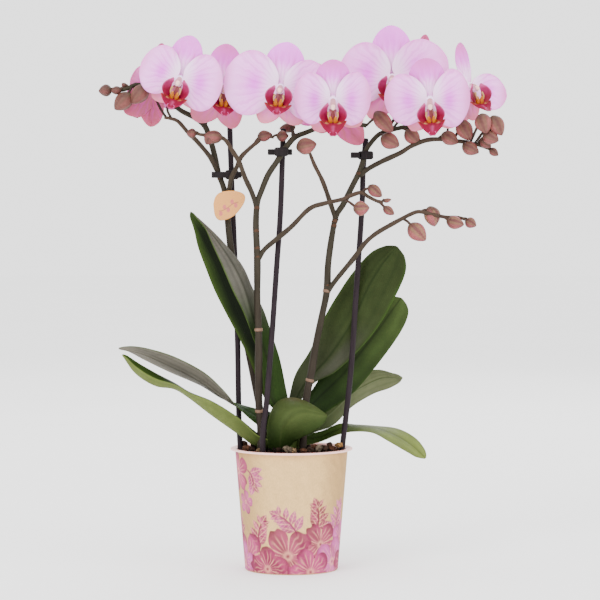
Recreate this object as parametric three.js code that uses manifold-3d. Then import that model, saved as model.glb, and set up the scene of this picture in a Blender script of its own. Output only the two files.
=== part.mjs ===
// A potted moth orchid: a printed 9 cm pot of bark, eight leaves on a short stem, three flower
// spikes tied to stakes, ten open blooms and the buds beyond them.
// Millimetres, +Z up, origin at the middle of the pot's foot; -Y is the front.
import * as THREE from 'three';
import { mergeVertices } from 'three/addons/utils/BufferGeometryUtils.js';
import Module from 'manifold-3d';

const wasm = await Module();
wasm.setup();

// ---- driving dimensions -------------------------------------------------------------------
const GAP = 0.35; // clearance between neighbouring pieces
const MERGE = 1e-4; // distance under which two vertices are one
const EVEN = 0.06; // how far a surface may move when its smallest triangles are merged

const POT = {
  height: 90.2,
  footRadius: 34.4,
  neckRadius: 41.7,
  lipRadius: 45.2,
  neckHeight: 88.7,
  wall: 1.2,
  floor: 2.0,
  segments: 36,
};
const BARK = { edgeHeight: 85.5, crownHeight: 90.5, chips: 18, chipSize: [16, 10, 6], seed: 7,
  segments: 20 };
const CROWN = { at: [-5, 0], foot: 55, top: 127, footRadius: 11, topRadius: 8 };
const STAKE = { radius: 2.1, foot: 30, sides: 8 };
const STEM = { sides: 6, main: 2.75, tip: 1.65, branch: 1.6, twig: 1.15, pedicel: 1.0, pitch: 17,
  branchPitch: 13, pedicelSides: 3, pedicelPitch: 9 };
const LEAF = { thickness: 1.5, rows: 11, columns: 4 };
const BUD = { sides: 6, rings: 4 };
const TEPAL_THICKNESS = 0.8;
const LIP_THICKNESS = 0.8;
const RING = { height: 2.6, sides: 7 };

// Stakes, from where they leave the bark to their tops.
const STAKES = {
  left: [[-38, 2, 90], [-40, 6, 170], [-42, 10, 229], [-45, 13, 303], [-46, 15, 338]],
  middle: [[-21, -26, 94], [-18, -23, 127], [-14, -18, 178], [-11, -14, 222], [-8, -9, 266],
    [-6, -3, 326]],
  right: [[37.5, -3, 90], [44, 1, 148], [48, 3, 207], [52, 5, 266], [53, 7, 295], [55, 8, 319]],
};

// Leaves: rows of points from the base to the tip, one row down each line of the blade.
const LEAVES = {
  leaf_tall_left: [
    [[-12, -6, 117], [-20, -8, 131], [-22, -6, 151], [-29, -14, 175], [-35, -25, 192],
      [-43, -28, 208], [-51, -25, 226], [-58, -18, 241], [-64, -10, 254], [-72.5, -5, 263]],
    [[-9, -6, 116], [-17, -6, 129], [-18, -5, 152], [-26, -10, 174], [-31, -15, 191],
      [-36, -16, 208], [-44, -14, 225], [-53, -11, 239], [-62, -7, 251], [-73, -4.5, 264]],
    [[-2, -1, 117], [-4, 0, 130], [-9, -2, 155], [-15, -4, 174], [-21, -5, 192], [-29, -5, 208],
      [-36, -5, 224], [-46, -4, 237], [-58, -4, 250], [-74, -4, 264.5]],
    [[-6, 4, 116], [-11, 6, 127], [-19, 1, 154], [-29, -1, 174], [-37, -1, 191], [-43, -1, 207],
      [-50, -1, 225], [-58, -1, 239], [-66, -3, 252], [-75, -3.7, 265]],
    [[-12, 4, 117], [-21, 6, 128], [-31, 1, 155], [-40, -1, 174], [-49, 0, 191], [-57, 2, 207],
      [-64, 2, 225], [-69, 0, 239], [-72, -2, 252], [-76.5, -3, 265]],
  ],
  leaf_upper_left: [
    [[-8, -6, 98], [-15, -10, 103], [-26, -12, 109], [-39, -14, 121], [-50, -14, 134],
      [-64, -18, 147], [-85, -18, 158], [-104, -15, 164], [-117, -10, 166], [-127, -6, 165]],
    [[-7, -2, 104], [-15, -4, 111], [-26, -6, 114], [-40, -9, 122], [-51, -9, 129],
      [-68, -5, 141], [-90, -3, 152], [-108, -4, 160], [-119, -4, 163], [-127.5, -4, 164]],
    [[-8, 2, 110], [-15, 2, 116], [-26, 0, 119], [-40, -3, 123], [-52, -4, 127],
      [-68, 6, 136], [-91, 10, 146], [-109, 8, 155], [-120, 3, 161], [-127, -2, 163]],
  ],
  leaf_lower_left: [
    [[-9, -8, 92], [-16, -14, 97], [-25, -17, 101], [-39, -20, 114], [-58, -22, 126],
      [-74, -22, 132], [-85, -22, 138], [-100, -21, 143], [-113, -19, 151], [-123, -15, 160]],
    [[-8, -4, 88], [-16, -6, 90], [-25, -9, 92], [-40, -11, 103], [-58, -13, 116],
      [-75, -13, 129], [-86, -13, 135.5], [-100, -14, 138], [-114, -15, 147], [-124, -13.5, 160]],
    [[-9, 0, 93], [-15, 0, 98], [-25, -1, 101], [-40, -2, 113], [-58, 0, 124], [-75, 2, 131],
      [-86, 2, 138], [-101, 0, 146], [-114, -6, 154], [-124, -12, 161.5]],
  ],
  leaf_tall_right: [
    [[-2, 4, 126], [3, 8, 144], [14, 10, 162], [25, 12, 187], [37, 13, 207], [47, 13, 221],
      [60, 12, 235], [74, 9, 241]],
    [[2, 2, 124], [11, 3, 139], [26, 4, 155], [40, 5, 175], [49, 6, 191], [56, 7, 207],
      [66, 7, 224], [78, 7, 239]],
    [[5, 5, 122], [16, 7, 137], [33, 9, 146], [53, 11, 165], [67, 13, 183], [77.5, 13, 202],
      [85, 12, 221], [83, 9, 236]],
  ],
  leaf_rear_right: [
    [[-1, 4, 108], [5, 9, 117], [18, 15, 136], [31, 19, 156], [43, 21, 172], [55, 23, 187],
      [67, 24, 198], [77, 25, 202]],
    [[0, 3, 105], [8, 7, 114], [22, 14, 128], [37, 18, 142], [52, 20, 160], [66, 22, 178],
      [76, 25, 192], [82, 26, 200]],
    [[1, 3, 102], [12, 10, 107], [29, 18, 117], [46, 22, 129], [65, 25, 151], [81, 27, 173],
      [87.5, 28, 188], [85, 28, 198]],
  ],
  leaf_level_right: [
    [[0, 3, 99], [9, 9, 106], [24, 20, 119], [39, 26, 131], [53, 29, 143], [65, 30, 146],
      [76, 31, 143], [82, 34, 141]],
    [[0, 3, 95], [11, 10, 102], [27, 23, 113], [44, 30, 128], [58, 35, 136], [69, 37, 140],
      [78, 38, 140], [83.5, 37, 139]],
    [[1, 4, 92], [14, 12, 99], [31, 29, 104], [45, 39, 117], [61, 46, 126], [73, 47, 130],
      [80, 44, 134], [83, 41, 137]],
  ],
  leaf_low_right: [
    [[0, -1, 88], [8, 2, 91], [21, 4, 94], [34, 5, 99], [45, 5, 101.5], [60, 5, 101], [73, 6, 94],
      [85, 8, 86.5], [95, 15, 80]],
    [[-1, 2, 91], [8, 7, 95], [22, 11, 97], [36, 14, 102], [46, 16, 104], [61, 17, 103],
      [77, 18, 97.5], [90, 19, 89.5], [100, 20, 80]],
    [[0, 4, 94], [9, 11, 98], [23, 17, 101], [36, 22, 106], [48, 26, 105], [62, 28, 103.5],
      [80, 29, 101], [94, 28, 93.5], [102.5, 24, 82.5]],
  ],
  leaf_front: [
    [[-11, -5, 80], [-16, -10, 88], [-18, -14, 99], [-17, -15, 112], [-13, -12, 122],
      [-6, -10, 127], [4, -10, 127.5], [13, -13, 124.5], [21, -19, 120.5]],
    [[-6, -6, 80], [-9, -12, 88], [-9, -20, 99], [-7, -25, 110], [-2, -26, 117], [4, -25, 120],
      [10, -24, 120], [18, -24, 118], [26, -23, 116]],
    [[-1, -5, 81], [-2, -11, 89], [1, -15, 95], [5, -19, 98], [10, -22, 101], [14, -24, 103],
      [18, -26, 106], [22, -27, 109], [26, -25, 113]],
  ],
};

// Flower spikes: the main stem, its branches, the rings at its joints, and its buds. A bud runs
// from base to tip and hangs on a pedicel that leaves the stem at the point "from".
const SPIKES = {
  spike_left: {
    main: [[-19, 14, 84], [-22, 13, 109], [-29, 8, 147], [-36, 3.6, 184], [-42, 3.2, 218],
      [-46, 3.2, 247], [-48, 3.6, 270], [-50, 5, 282], [-54, 7, 293], [-57, 6, 307], [-60, 5, 318],
      [-64, 5, 328], [-71, 2, 334], [-81, -3, 339], [-93, -6, 348], [-104, -8, 355],
      [-113, -10, 358], [-120, -12, 355], [-125, -13, 354]],
    branches: [
      [[-52, 7, 288], [-56, 5, 297], [-60, 1, 305], [-69, -2, 316], [-76, -5, 323],
        [-83, -8, 331], [-88, -9, 333], [-93, -8, 334]],
      [[-48, 5.5, 274], [-46, 1, 281], [-44, -3, 290], [-40, -4, 298], [-37, -5, 305],
        [-31, -6, 311], [-25, -8, 316], [-20, -9, 320], [-13, -10, 319.5]],
    ],
    rings: [],
    buds: [
      { from: [-125, -13, 354], base: [-131, -14, 354], tip: [-141, -14, 353], radius: 4.6 },
      { from: [-121, -12, 355], base: [-124, -14, 354], tip: [-132, -17, 353], radius: 3.2 },
      { from: [-119, -12, 355.5], base: [-121, -12, 356], tip: [-124, -12, 359], radius: 2.0 },
      { from: [-116, -11, 357], base: [-117, -14, 351], tip: [-129, -17, 339.5], radius: 6.6 },
      { from: [-109, -9, 357.5], base: [-105, -13, 357], tip: [-117, -18, 344], radius: 6.4 },
      { from: [-28, -7, 313.5], base: [-25, -8, 319.5], tip: [-14, -9, 321.5], radius: 4.3 },
      { from: [-14, -10, 319.5], base: [-11, -10, 320], tip: [-2, -9, 320.5], radius: 4.3 },
    ],
  },
  spike_middle: {
    main: [[-22, -13, 84], [-23, -13, 108], [-24, -15, 127], [-24, -18, 153], [-24, -18, 178],
      [-25, -17, 200], [-25, -15, 230], [-26, -13, 255], [-25, -13, 271], [-22, -13, 280],
      [-17, -13, 292], [-11, -13, 301], [-6, -13, 309], [2, -11, 319], [11, -8, 323],
      [21, -5, 327], [31, -3, 331], [44, -4, 330], [55, -6, 328]],
    branches: [
      [[-25, -13, 267], [-29, -15, 279], [-34, -17, 290], [-38, -19, 301], [-44, -20, 311],
        [-49, -21, 318], [-58, -21, 321], [-65, -21, 321], [-69, -21, 322]],
      [[-25, -15, 229], [-20, -15, 237], [-12, -18, 244], [0, -18, 254], [13, -19, 267],
        [24, -20, 271], [37, -21, 274], [44, -22, 277], [51, -22, 279], [56, -22, 276],
        [62, -22, 273], [67, -22, 272]],
    ],
    rings: [{ on: 0.116, radius: 3.3 }, { on: 0.318, radius: 3.3 }],
    buds: [
      { from: [-67, -21, 321.5], base: [-69, -21, 322], tip: [-76.5, -22, 322], radius: 3.8 },
      { from: [-49, -21, 318], base: [-50, -21, 319], tip: [-64, -23, 320], radius: 5.0 },
      { from: [-57, -21, 321], base: [-58, -21, 321], tip: [-62, -24, 314], radius: 4.0 },
      { from: [1, -10, 318], base: [3, 3, 327], tip: [-9, 6, 326], radius: 3.8 },
      { from: [37, -21, 274], base: [45, -24, 267], tip: [57, -25, 268], radius: 5.6 },
      { from: [51, -22, 279], base: [56, -23, 284], tip: [66, -24, 276], radius: 4.4 },
      { from: [66, -22, 272], base: [67, -22, 272.5], tip: [73, -22, 274], radius: 1.7 },
      { from: [61, -22, 273], base: [67, -22, 268.5], tip: [75, -23, 263], radius: 3.3 },
      { from: [55, -6, 328], base: [61, -12, 338], tip: [74, -17, 323], radius: 6.2 },
    ],
  },
  spike_right: {
    main: [[8, -7, 84], [10, -6, 119], [12, -6, 133], [15, -6, 148], [18, -6, 167],
      [22, -5, 186], [26, -4, 206], [27, -4, 226], [30, -4, 248], [33, -4, 262], [38, -3, 270],
      [44, -2, 282], [50, -1, 294], [53, 0, 303], [55, 1, 310], [59, 1, 316], [65, 2, 322],
      [74, 2, 325], [83, -2, 327], [87, -4, 327]],
    branches: [
      [[33, -4, 258], [29, -6, 270], [23, -8, 287], [17, -10, 299], [13, -12, 309]],
      [[50, -1, 291], [56, -2, 296], [67, -4, 302], [80, -6, 308], [88, -8, 313],
        [98, -9, 317], [107, -10, 318], [117, -11, 317], [127, -11, 316], [136, -12, 314],
        [145, -12, 311]],
      [[26, -4, 205], [30, -6, 211], [37, -9, 220], [46, -12, 231], [54, -14, 242],
        [62, -16, 249], [72, -18, 255], [81, -19, 260], [89, -20, 264], [94, -20, 265],
        [103, -20, 263], [113, -20, 261], [121, -20, 261], [127, -20, 259.5]],
    ],
    rings: [{ on: 0.21, radius: 3.3 }, { on: 0.455, radius: 3.1 }],
    buds: [
      { from: [13, -12, 308], base: [3.5, -13, 311.5], tip: [18.5, -15, 314.5], radius: 6.4 },
      { from: [65, 2, 322], base: [66, -6, 320], tip: [79, -12, 313], radius: 6.3 },
      { from: [81, -1, 326], base: [84, -5, 325], tip: [94, -8, 314.5], radius: 5.7 },
      { from: [107, -10, 318], base: [110, -12, 322], tip: [122, -14, 315], radius: 5.4 },
      { from: [119, -11, 317], base: [123, -12, 332], tip: [131, -15, 317], radius: 6.4 },
      { from: [131, -11, 315], base: [138, -23, 336.5], tip: [142, -26, 322], radius: 6.6 },
      { from: [134, -12, 314.5], base: [146, -21, 335], tip: [153.5, -22, 320.5], radius: 6.0 },
      { from: [136, -12, 314], base: [140, -18, 322], tip: [151, -22, 316.5], radius: 5.6 },
      { from: [136, -12, 314], base: [138, -13, 318], tip: [146, -15, 312], radius: 3.9 },
      { from: [126, -11, 316], base: [125, -14, 314], tip: [137, -17, 308], radius: 5.2 },
      { from: [143, -12, 311.5], base: [145, -12, 311], tip: [151.5, -13, 306], radius: 3.1 },
      { from: [81, -19, 260], base: [86, -20, 256], tip: [98, -23, 244], radius: 6.6 },
      { from: [94, -20, 265], base: [101, -16, 269], tip: [105, -14, 254], radius: 6.4 },
      { from: [106, -20, 262], base: [113, -22, 258.5], tip: [126, -23, 255.5], radius: 5.0 },
      { from: [126, -20, 260], base: [127, -20, 259], tip: [135, -21, 254.5], radius: 4.1 },
    ],
  },
};

// Open blooms: centre, where the face looks (yaw to the right, pitch down, roll clockwise, in
// degrees), the spike that carries it and its pedicel's way. Its tepals are the top sepal, right
// and left petal, and lower right and left sepal, each with its length, its width and how far it is
// turned from upright.
const BLOOMS = {
  bloom_a: { at: [-81, -27, 361], yaw: -4, pitch: 6, roll: 15, on: 'spike_left',
    tepals: [[32.5, 24, 0], [31, 42, 84], [31, 37, -79], [26, 19, 130], [25, 19, -139]],
    pedicel: [[-88, -9, 333], [-91, -9, 341], [-86, -12, 352]] },
  bloom_b: { at: [-50, -6, 356], yaw: 12, pitch: 4, roll: 7, on: 'spike_left',
    tepals: [[32, 25, 0], [30.5, 34, 81], [30, 34, -83], [32, 21, 155], [32, 24, -148]],
    pedicel: [[-64, 4, 328], [-59, 9, 338], [-52, 7, 350]] },
  bloom_c: { at: [-8, -24, 355], yaw: -2, pitch: 0, roll: 6, on: 'spike_middle',
    tepals: [[34, 29, 4], [36, 44, 88], [42, 48, -86], [30, 21, 147], [29, 20, -156]],
    pedicel: [[3, -11, 319], [-1, -9, 330], [-6, -12, 346]] },
  bloom_d: { at: [30, -44, 346], yaw: 0, pitch: 26, roll: 0, on: 'spike_middle',
    tepals: [[29, 25, 0], [27.5, 42, 91], [28, 41, -90], [31, 22, 140], [31, 21, -158]],
    pedicel: [[21, -5, 327], [24, -14, 333], [29, -28, 345]] },
  bloom_e: { at: [74, -4, 363], yaw: -4, pitch: 0, roll: 0, on: 'spike_right',
    tepals: [[39, 30, -2], [43, 42, 70], [40, 46, -80], [34, 24, 150], [34, 22, -151]],
    pedicel: [[71, 2, 324], [77, 13, 337], [77, 11, 354]] },
  bloom_f: { at: [100, -42, 346], yaw: -3, pitch: 24, roll: -6, on: 'spike_right',
    tepals: [[30, 26, -2], [29, 45, 96], [33, 40, -87], [30, 20, 150], [30, 20, -148]],
    pedicel: [[86, -4, 327], [92, -14, 331], [99, -28, 345]] },
  bloom_g: { at: [131, 0, 357], yaw: 36, pitch: -4, roll: -4, on: 'spike_right',
    tepals: [[33, 14, 0], [40, 27, 103], [26, 25, -84], [26, 18, 165], [28, 20, -165]],
    pedicel: [[113, -10, 317], [116, -4, 330], [122, 4, 350]] },
  bloom_h: { at: [-104, 14, 356], yaw: 208, pitch: 6, roll: -14, on: 'spike_left',
    tepals: [[34, 13, 0], [19, 27, 84], [28, 28, -84], [32, 22, 141], [30, 20, -176]],
    pedicel: [[-92, -8, 334], [-97, -4, 342], [-102, 4, 353]] },
  bloom_j: { at: [29, 16, 345], yaw: 176, pitch: 4, roll: 8, on: 'spike_middle',
    tepals: [[34, 22, 22], [31, 33, 84], [25, 30, -84], [24, 18, 153], [39, 21, -151]],
    pedicel: [[31, -3, 331], [32, 0, 338], [31, 6, 344]] },
  bloom_l: { at: [95, 26, 356], yaw: 170, pitch: 0, roll: -8, on: 'spike_right',
    tepals: [[40.5, 13, 0], [31, 33, 84], [31, 33, -84], [30, 20, 153], [30, 20, -153]],
    pedicel: [[74, 2, 325], [84, 8, 338], [93, 16, 354]] },
};

// One bloom in its own frame: +Z up, -Y the way it faces. claw, swell and round set a tepal's
// outline, lean, curl and cup its bend backwards.
const PETAL = { claw: 0.2, swell: 1.06, round: 0.5, lean: 4, curl: 2.5, cup: 1.2, depth: -0.8,
  rows: 5, columns: 4 };
const DORSAL = { claw: 0.3, swell: 0.95, round: 0.5, lean: 3, curl: 2, cup: 1.6, depth: 2.0,
  rows: 4, columns: 2 };
const LATERAL = { claw: 0.3, swell: 0.92, round: 0.54, lean: 4, curl: 2, cup: 1.4, depth: 2.2,
  rows: 3, columns: 2 };
const TEPAL_FORMS = [DORSAL, PETAL, PETAL, LATERAL, LATERAL];
const HUB_RADIUS = 3.3;
const TEPAL_ROOT = 2.0; // where a tepal starts, inside the hub
const TIP_WIDTH = 0.3; // share of its width that a tepal keeps at its blunt tip
const COLUMN = { path: [[0, -1.2, 0.1], [0, -7.8, -3.3]], radius: 2.25, end: 3.0 };
const LIP = {
  claw: { path: [[0, -1.4, -4.1], [0, -9.2, -13.4]], radius: 1.5 },
  callus: { base: [0, -8.8, -14.6], tip: [0, -10.9, -8.4], radius: 2.7 },
  lobe: { foot: -15.2, rise: 16.4, spread: 5.4, start: 1.6, depth: -8.6, width: 7.8 },
  apron: { from: [0, -9.4, -13.9], length: 12.5, fall: 32, width: 20 },
};

// Clips that tie a spike to its stake: a block with a hole for each, and a flat lever.
const CLIPS = {
  clip_left: { block: [[-48.6, 2.6, 288.5], [-39.4, 15.2, 295.5]],
    lever: [[-57, 1.2, 289.6], [-36.8, 4.0, 294.2]], hook: [[-59, 1.2, 289.6], [-56.4, 10, 294.2]] },
  clip_middle: { block: [[-12.2, -17.0, 305.5], [-2.6, -1.6, 312.0]],
    lever: [[-17.4, -9.4, 306.4], [0.6, -6.8, 310.8]], hook: null },
  clip_right: { block: [[49.4, -3.2, 303.2], [60.0, 11.6, 309.4]],
    lever: [[43.6, -3.2, 304.2], [52, -0.6, 308.6]], hook: null },
};

// The plant tag: a rounded card that rides on the left stem and stake by a small grip.
const TAG = {
  outline: [[-57.6, 270.4], [-56.2, 275.4], [-52.9, 278.8], [-46.4, 280.2], [-39.6, 279.8],
    [-34.8, 277.4], [-34.2, 273.2], [-36.6, 268.2], [-41.4, 262.6], [-47.2, 259.2],
    [-53.0, 258.4], [-56.4, 262.0]],
  front: -3.2,
  thickness: 1.0,
  grip: [[-52.0, -2.4, 266.4], [-40.4, 14.2, 271.4]],
};

const COLOURS = {
  pot: [0xdfcdb4, 0.75],
  bark: [0x4a2f22, 0.95],
  stake: [0x33292d, 0.5],
  clip: [0x2b2628, 0.5],
  tag: [0xeec4a0, 0.7],
  crown: [0x4f6a24, 0.6],
  leaf: [0x3f5a1c, 0.45],
  spike: [0x5b4a3e, 0.6],
  bloom: [0xf0cfee, 0.55],
  lip: [0xc0264a, 0.5],
};

// ---- solids and meshes ---------------------------------------------------------------------
const vector = ([x, y, z]) => new THREE.Vector3(x, y, z);
const radians = THREE.MathUtils.degToRad;

function solidOf(geometry) {
  const bare = geometry.index ? geometry.clone() : geometry;
  bare.deleteAttribute('normal');
  bare.deleteAttribute('uv');
  const merged = mergeVertices(bare, MERGE);
  const vertProperties = Float32Array.from(merged.attributes.position.array);
  const triVerts = Uint32Array.from(dropSlivers(merged.index.array));
  const solid = new wasm.Manifold(new wasm.Mesh({ numProp: 3, vertProperties, triVerts }));
  if (solid.volume() > 0) return solid;
  const turned = triVerts.map((_, i) => triVerts[i - (i % 3) + (2 - (i % 3))]);
  return new wasm.Manifold(new wasm.Mesh({ numProp: 3, vertProperties, triVerts: turned }));
}

function dropSlivers(index) {
  const kept = [];
  for (let i = 0; i < index.length; i += 3) {
    const [a, b, c] = [index[i], index[i + 1], index[i + 2]];
    if (a !== b && b !== c && a !== c) kept.push(a, b, c);
  }
  return kept;
}

function geometryOf(solid) {
  const mesh = solid.getMesh();
  const geometry = new THREE.BufferGeometry();
  const positions = new Float32Array(mesh.numVert * 3);
  for (let i = 0; i < mesh.numVert; i += 1) {
    for (let k = 0; k < 3; k += 1) {
      positions[3 * i + k] = mesh.vertProperties[mesh.numProp * i + k];
    }
  }
  geometry.setAttribute('position', new THREE.BufferAttribute(positions, 3));
  geometry.setIndex(new THREE.BufferAttribute(new Uint32Array(mesh.triVerts), 1));
  geometry.computeVertexNormals();
  return geometry;
}

const join = (solids) => solids.reduce((whole, solid) => whole.add(solid));
const cut = (solid, tools) => tools.reduce((rest, tool) => rest.subtract(tool), solid);

// The main body of a solid, without loose scraps and with sealed hollows filled.
function mainBody(solid) {
  const bodies = solid.asOriginal().simplify(EVEN).decompose();
  return bodies.reduce((best, body) => (body.volume() > best.volume() ? body : best));
}

// ---- general shapes --------------------------------------------------------------------------
function smoothCurve(points) {
  return new THREE.CatmullRomCurve3(points.map(vector), false, 'catmullrom', 0.5);
}

function polygon(radius, sides) {
  const corners = [];
  for (let i = 0; i < sides; i += 1) {
    const angle = (2 * Math.PI * i) / sides;
    corners.push(new THREE.Vector2(radius * Math.cos(angle), radius * Math.sin(angle)));
  }
  return new THREE.Shape(corners);
}

// A round stem along points, tapering from one radius to the other.
function stem(points, radius, endRadius = radius, sides = STEM.sides, pitch = STEM.pitch) {
  const curve = smoothCurve(points);
  const steps = Math.max(1, Math.round(curve.getLength() / pitch));
  const geometry = new THREE.ExtrudeGeometry(polygon(radius, sides), {
    steps, extrudePath: curve, bevelEnabled: false,
  });
  const rings = curve.getSpacedPoints(steps);
  const position = geometry.attributes.position;
  const point = new THREE.Vector3();
  for (let i = 0; i < position.count; i += 1) {
    point.fromBufferAttribute(position, i);
    let nearest = 0;
    for (let k = 1; k < rings.length; k += 1) {
      if (rings[k].distanceToSquared(point) < rings[nearest].distanceToSquared(point)) nearest = k;
    }
    const share = 1 + (endRadius / radius - 1) * (nearest / steps);
    point.sub(rings[nearest]).multiplyScalar(share).add(rings[nearest]);
    position.setXYZ(i, point.x, point.y, point.z);
  }
  return solidOf(geometry);
}

// A thin blade of even thickness over a surface(u, v), u from 0 to 1 and v from -1 to 1. Both
// faces are split into the same triangles.
function blade(surface, rows, columns, thickness) {
  const grid = [];
  for (let i = 0; i <= rows; i += 1) {
    const row = [];
    for (let j = 0; j <= columns; j += 1) row.push(surface(i / rows, (2 * j) / columns - 1));
    grid.push(row);
  }
  const at = (i, j) => grid[THREE.MathUtils.clamp(i, 0, rows)][THREE.MathUtils.clamp(j, 0, columns)];
  const faces = [[], []];
  for (let i = 0; i <= rows; i += 1) {
    for (let j = 0; j <= columns; j += 1) {
      const along = at(i + 1, j).clone().sub(at(i - 1, j));
      const across = at(i, j + 1).clone().sub(at(i, j - 1));
      const offset = along.cross(across).setLength(thickness / 2);
      faces[0].push(grid[i][j].clone().add(offset));
      faces[1].push(grid[i][j].clone().sub(offset));
    }
  }
  const points = [...faces[0], ...faces[1]];
  const width = columns + 1;
  const under = faces[0].length;
  const index = [];
  for (let i = 0; i < rows; i += 1) {
    for (let j = 0; j < columns; j += 1) {
      const a = i * width + j;
      const b = a + width;
      const [c, d] = [b + 1, a + 1];
      index.push(a, b, c, a, c, d);
      index.push(under + a, under + c, under + b, under + a, under + d, under + c);
    }
  }
  const rim = [];
  for (let j = 0; j < columns; j += 1) rim.push(j);
  for (let i = 0; i < rows; i += 1) rim.push(i * width + columns);
  for (let j = columns; j > 0; j -= 1) rim.push(rows * width + j);
  for (let i = rows; i > 0; i -= 1) rim.push(i * width);
  rim.forEach((a, k) => {
    const b = rim[(k + 1) % rim.length];
    index.push(a, b, under + b, a, under + b, under + a);
  });
  const geometry = new THREE.BufferGeometry().setFromPoints(points);
  geometry.setIndex(index);
  return solidOf(geometry);
}

// An egg shape from base to tip, as a bud or a callus has.
function egg(base, tip, radius, sides = BUD.sides, rings = BUD.rings) {
  const axis = vector(tip).sub(vector(base));
  const profile = [];
  for (let i = 0; i <= rings; i += 1) {
    const share = (1 - Math.cos((Math.PI * i) / rings)) / 2;
    const swell = i === 0 || i === rings ? 0 : Math.sin(Math.PI * share ** 0.85) ** 0.7;
    profile.push(new THREE.Vector2(radius * swell, axis.length() * share));
  }
  const geometry = new THREE.LatheGeometry(profile, sides);
  const turn = new THREE.Quaternion().setFromUnitVectors(
    new THREE.Vector3(0, 1, 0), axis.clone().normalize());
  geometry.applyQuaternion(turn);
  geometry.translate(...base);
  return solidOf(geometry);
}

function box([low, high]) {
  const size = high.map((value, k) => value - low[k]);
  const geometry = new THREE.BoxGeometry(...size);
  geometry.translate(...low.map((value, k) => value + size[k] / 2));
  return solidOf(geometry);
}

function lathe(profile, segments) {
  const geometry = new THREE.LatheGeometry(profile.map(([r, z]) => new THREE.Vector2(r, z)), segments);
  geometry.rotateX(Math.PI / 2);
  return solidOf(geometry);
}

// A repeatable stream of numbers from 0 to 1.
function seededNumbers(seed) {
  let state = seed;
  return () => {
    state = (state * 16807) % 2147483647;
    return state / 2147483647;
  };
}

// ---- pot and bark ----------------------------------------------------------------------------
function potRadius(z) {
  return POT.footRadius + (POT.neckRadius - POT.footRadius) * (z / POT.neckHeight);
}

function makePot() {
  const inner = (z) => potRadius(z) - POT.wall;
  return lathe([
    [0, 0], [POT.footRadius - 1.2, 0], [potRadius(1.2), 1.2],
    [POT.neckRadius, POT.neckHeight], [POT.lipRadius - 0.4, POT.neckHeight + 0.2],
    [POT.lipRadius, POT.neckHeight + 0.5], [POT.lipRadius, POT.height - 0.4],
    [POT.lipRadius - 0.4, POT.height], [POT.neckRadius - 0.2, POT.height],
    [inner(POT.neckHeight), POT.neckHeight - 1], [inner(POT.floor), POT.floor], [0, POT.floor],
  ], POT.segments);
}

// One bark chip: a small box with its corners pulled about.
function makeChip(random, scale) {
  const geometry = new THREE.BoxGeometry(...BARK.chipSize.map((side) => side * scale));
  geometry.deleteAttribute('normal');
  geometry.deleteAttribute('uv');
  const chip = mergeVertices(geometry, MERGE);
  const position = chip.attributes.position;
  for (let i = 0; i < position.count; i += 1) {
    const pull = () => 0.72 + 0.5 * random();
    position.setXYZ(i, position.getX(i) * pull(), position.getY(i) * pull(),
      position.getZ(i) * pull());
  }
  const tilt = new THREE.Euler(0.9 * (random() - 0.5), 0.9 * (random() - 0.5),
    2 * Math.PI * random());
  return chip.applyQuaternion(new THREE.Quaternion().setFromEuler(tilt));
}

function makeBark(holes) {
  const edge = potRadius(BARK.edgeHeight) - POT.wall - GAP;
  const fill = lathe([
    [0, POT.floor + GAP], [potRadius(POT.floor) - POT.wall - GAP, POT.floor + GAP],
    [edge, BARK.edgeHeight], [edge - 4, BARK.edgeHeight + 1], [edge / 2, BARK.crownHeight - 1],
    [0, BARK.crownHeight],
  ], BARK.segments);
  const random = seededNumbers(BARK.seed);
  const golden = Math.PI * (3 - Math.sqrt(5));
  const chips = [];
  for (let i = 0; i < BARK.chips; i += 1) {
    const reach = Math.sqrt((i + 0.5) / BARK.chips);
    const chip = makeChip(random, 0.7 + 0.5 * random());
    const radius = (edge - 9.5) * reach;
    const height = BARK.crownHeight + 0.8 - 4.5 * reach * reach + 1.6 * random();
    chip.translate(radius * Math.cos(golden * i), radius * Math.sin(golden * i), height);
    chips.push(solidOf(chip));
  }
  return mainBody(cut(join([fill, ...chips]), holes));
}

// ---- crown, leaves ---------------------------------------------------------------------------
function makeCrown(extra = 0) {
  const [x, y] = CROWN.at;
  const path = [[x, y, CROWN.foot - extra], [x, y, (CROWN.foot + CROWN.top) / 2],
    [x, y, CROWN.top + extra]];
  return stem(path, CROWN.footRadius + extra, CROWN.topRadius + extra, 10, 24);
}

function makeLeaf(lines, extra = 0) {
  const along = lines.map(smoothCurve);
  const surface = (u, v) => {
    const section = along.map((curve) => curve.getPoint(u));
    const curve = new THREE.CatmullRomCurve3(section, false, 'catmullrom', 0.5);
    const point = curve.getPoint((v + 1) / 2);
    const outward = point.clone().sub(curve.getPoint(0.5)).setLength(2 * extra * Math.abs(v));
    return point.add(outward);
  };
  return blade(surface, LEAF.rows, LEAF.columns, LEAF.thickness + 2 * extra);
}

// ---- spikes ----------------------------------------------------------------------------------
function arc(from, to, lift) {
  const middle = from.map((value, k) => (value + to[k]) / 2);
  middle[2] += lift;
  return [from, middle, to];
}

function makeRing(curve, { on, radius }, extra) {
  const centre = curve.getPointAt(on);
  const half = curve.getTangentAt(on).multiplyScalar(RING.height / 2 + extra);
  const ends = [centre.clone().sub(half).toArray(), centre.clone().add(half).toArray()];
  return stem(ends, radius + extra, radius + extra, RING.sides, 2 * RING.height);
}

function makePedicel(points) {
  return stem(points, STEM.pedicel, STEM.pedicel, STEM.pedicelSides, STEM.pedicelPitch);
}

function makeBud({ from, base, tip, radius }) {
  const inside = base.map((value, k) => value + 0.3 * (tip[k] - value));
  return join([makePedicel(arc(from, inside, 1.2)), egg(base, tip, radius)]);
}

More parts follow.
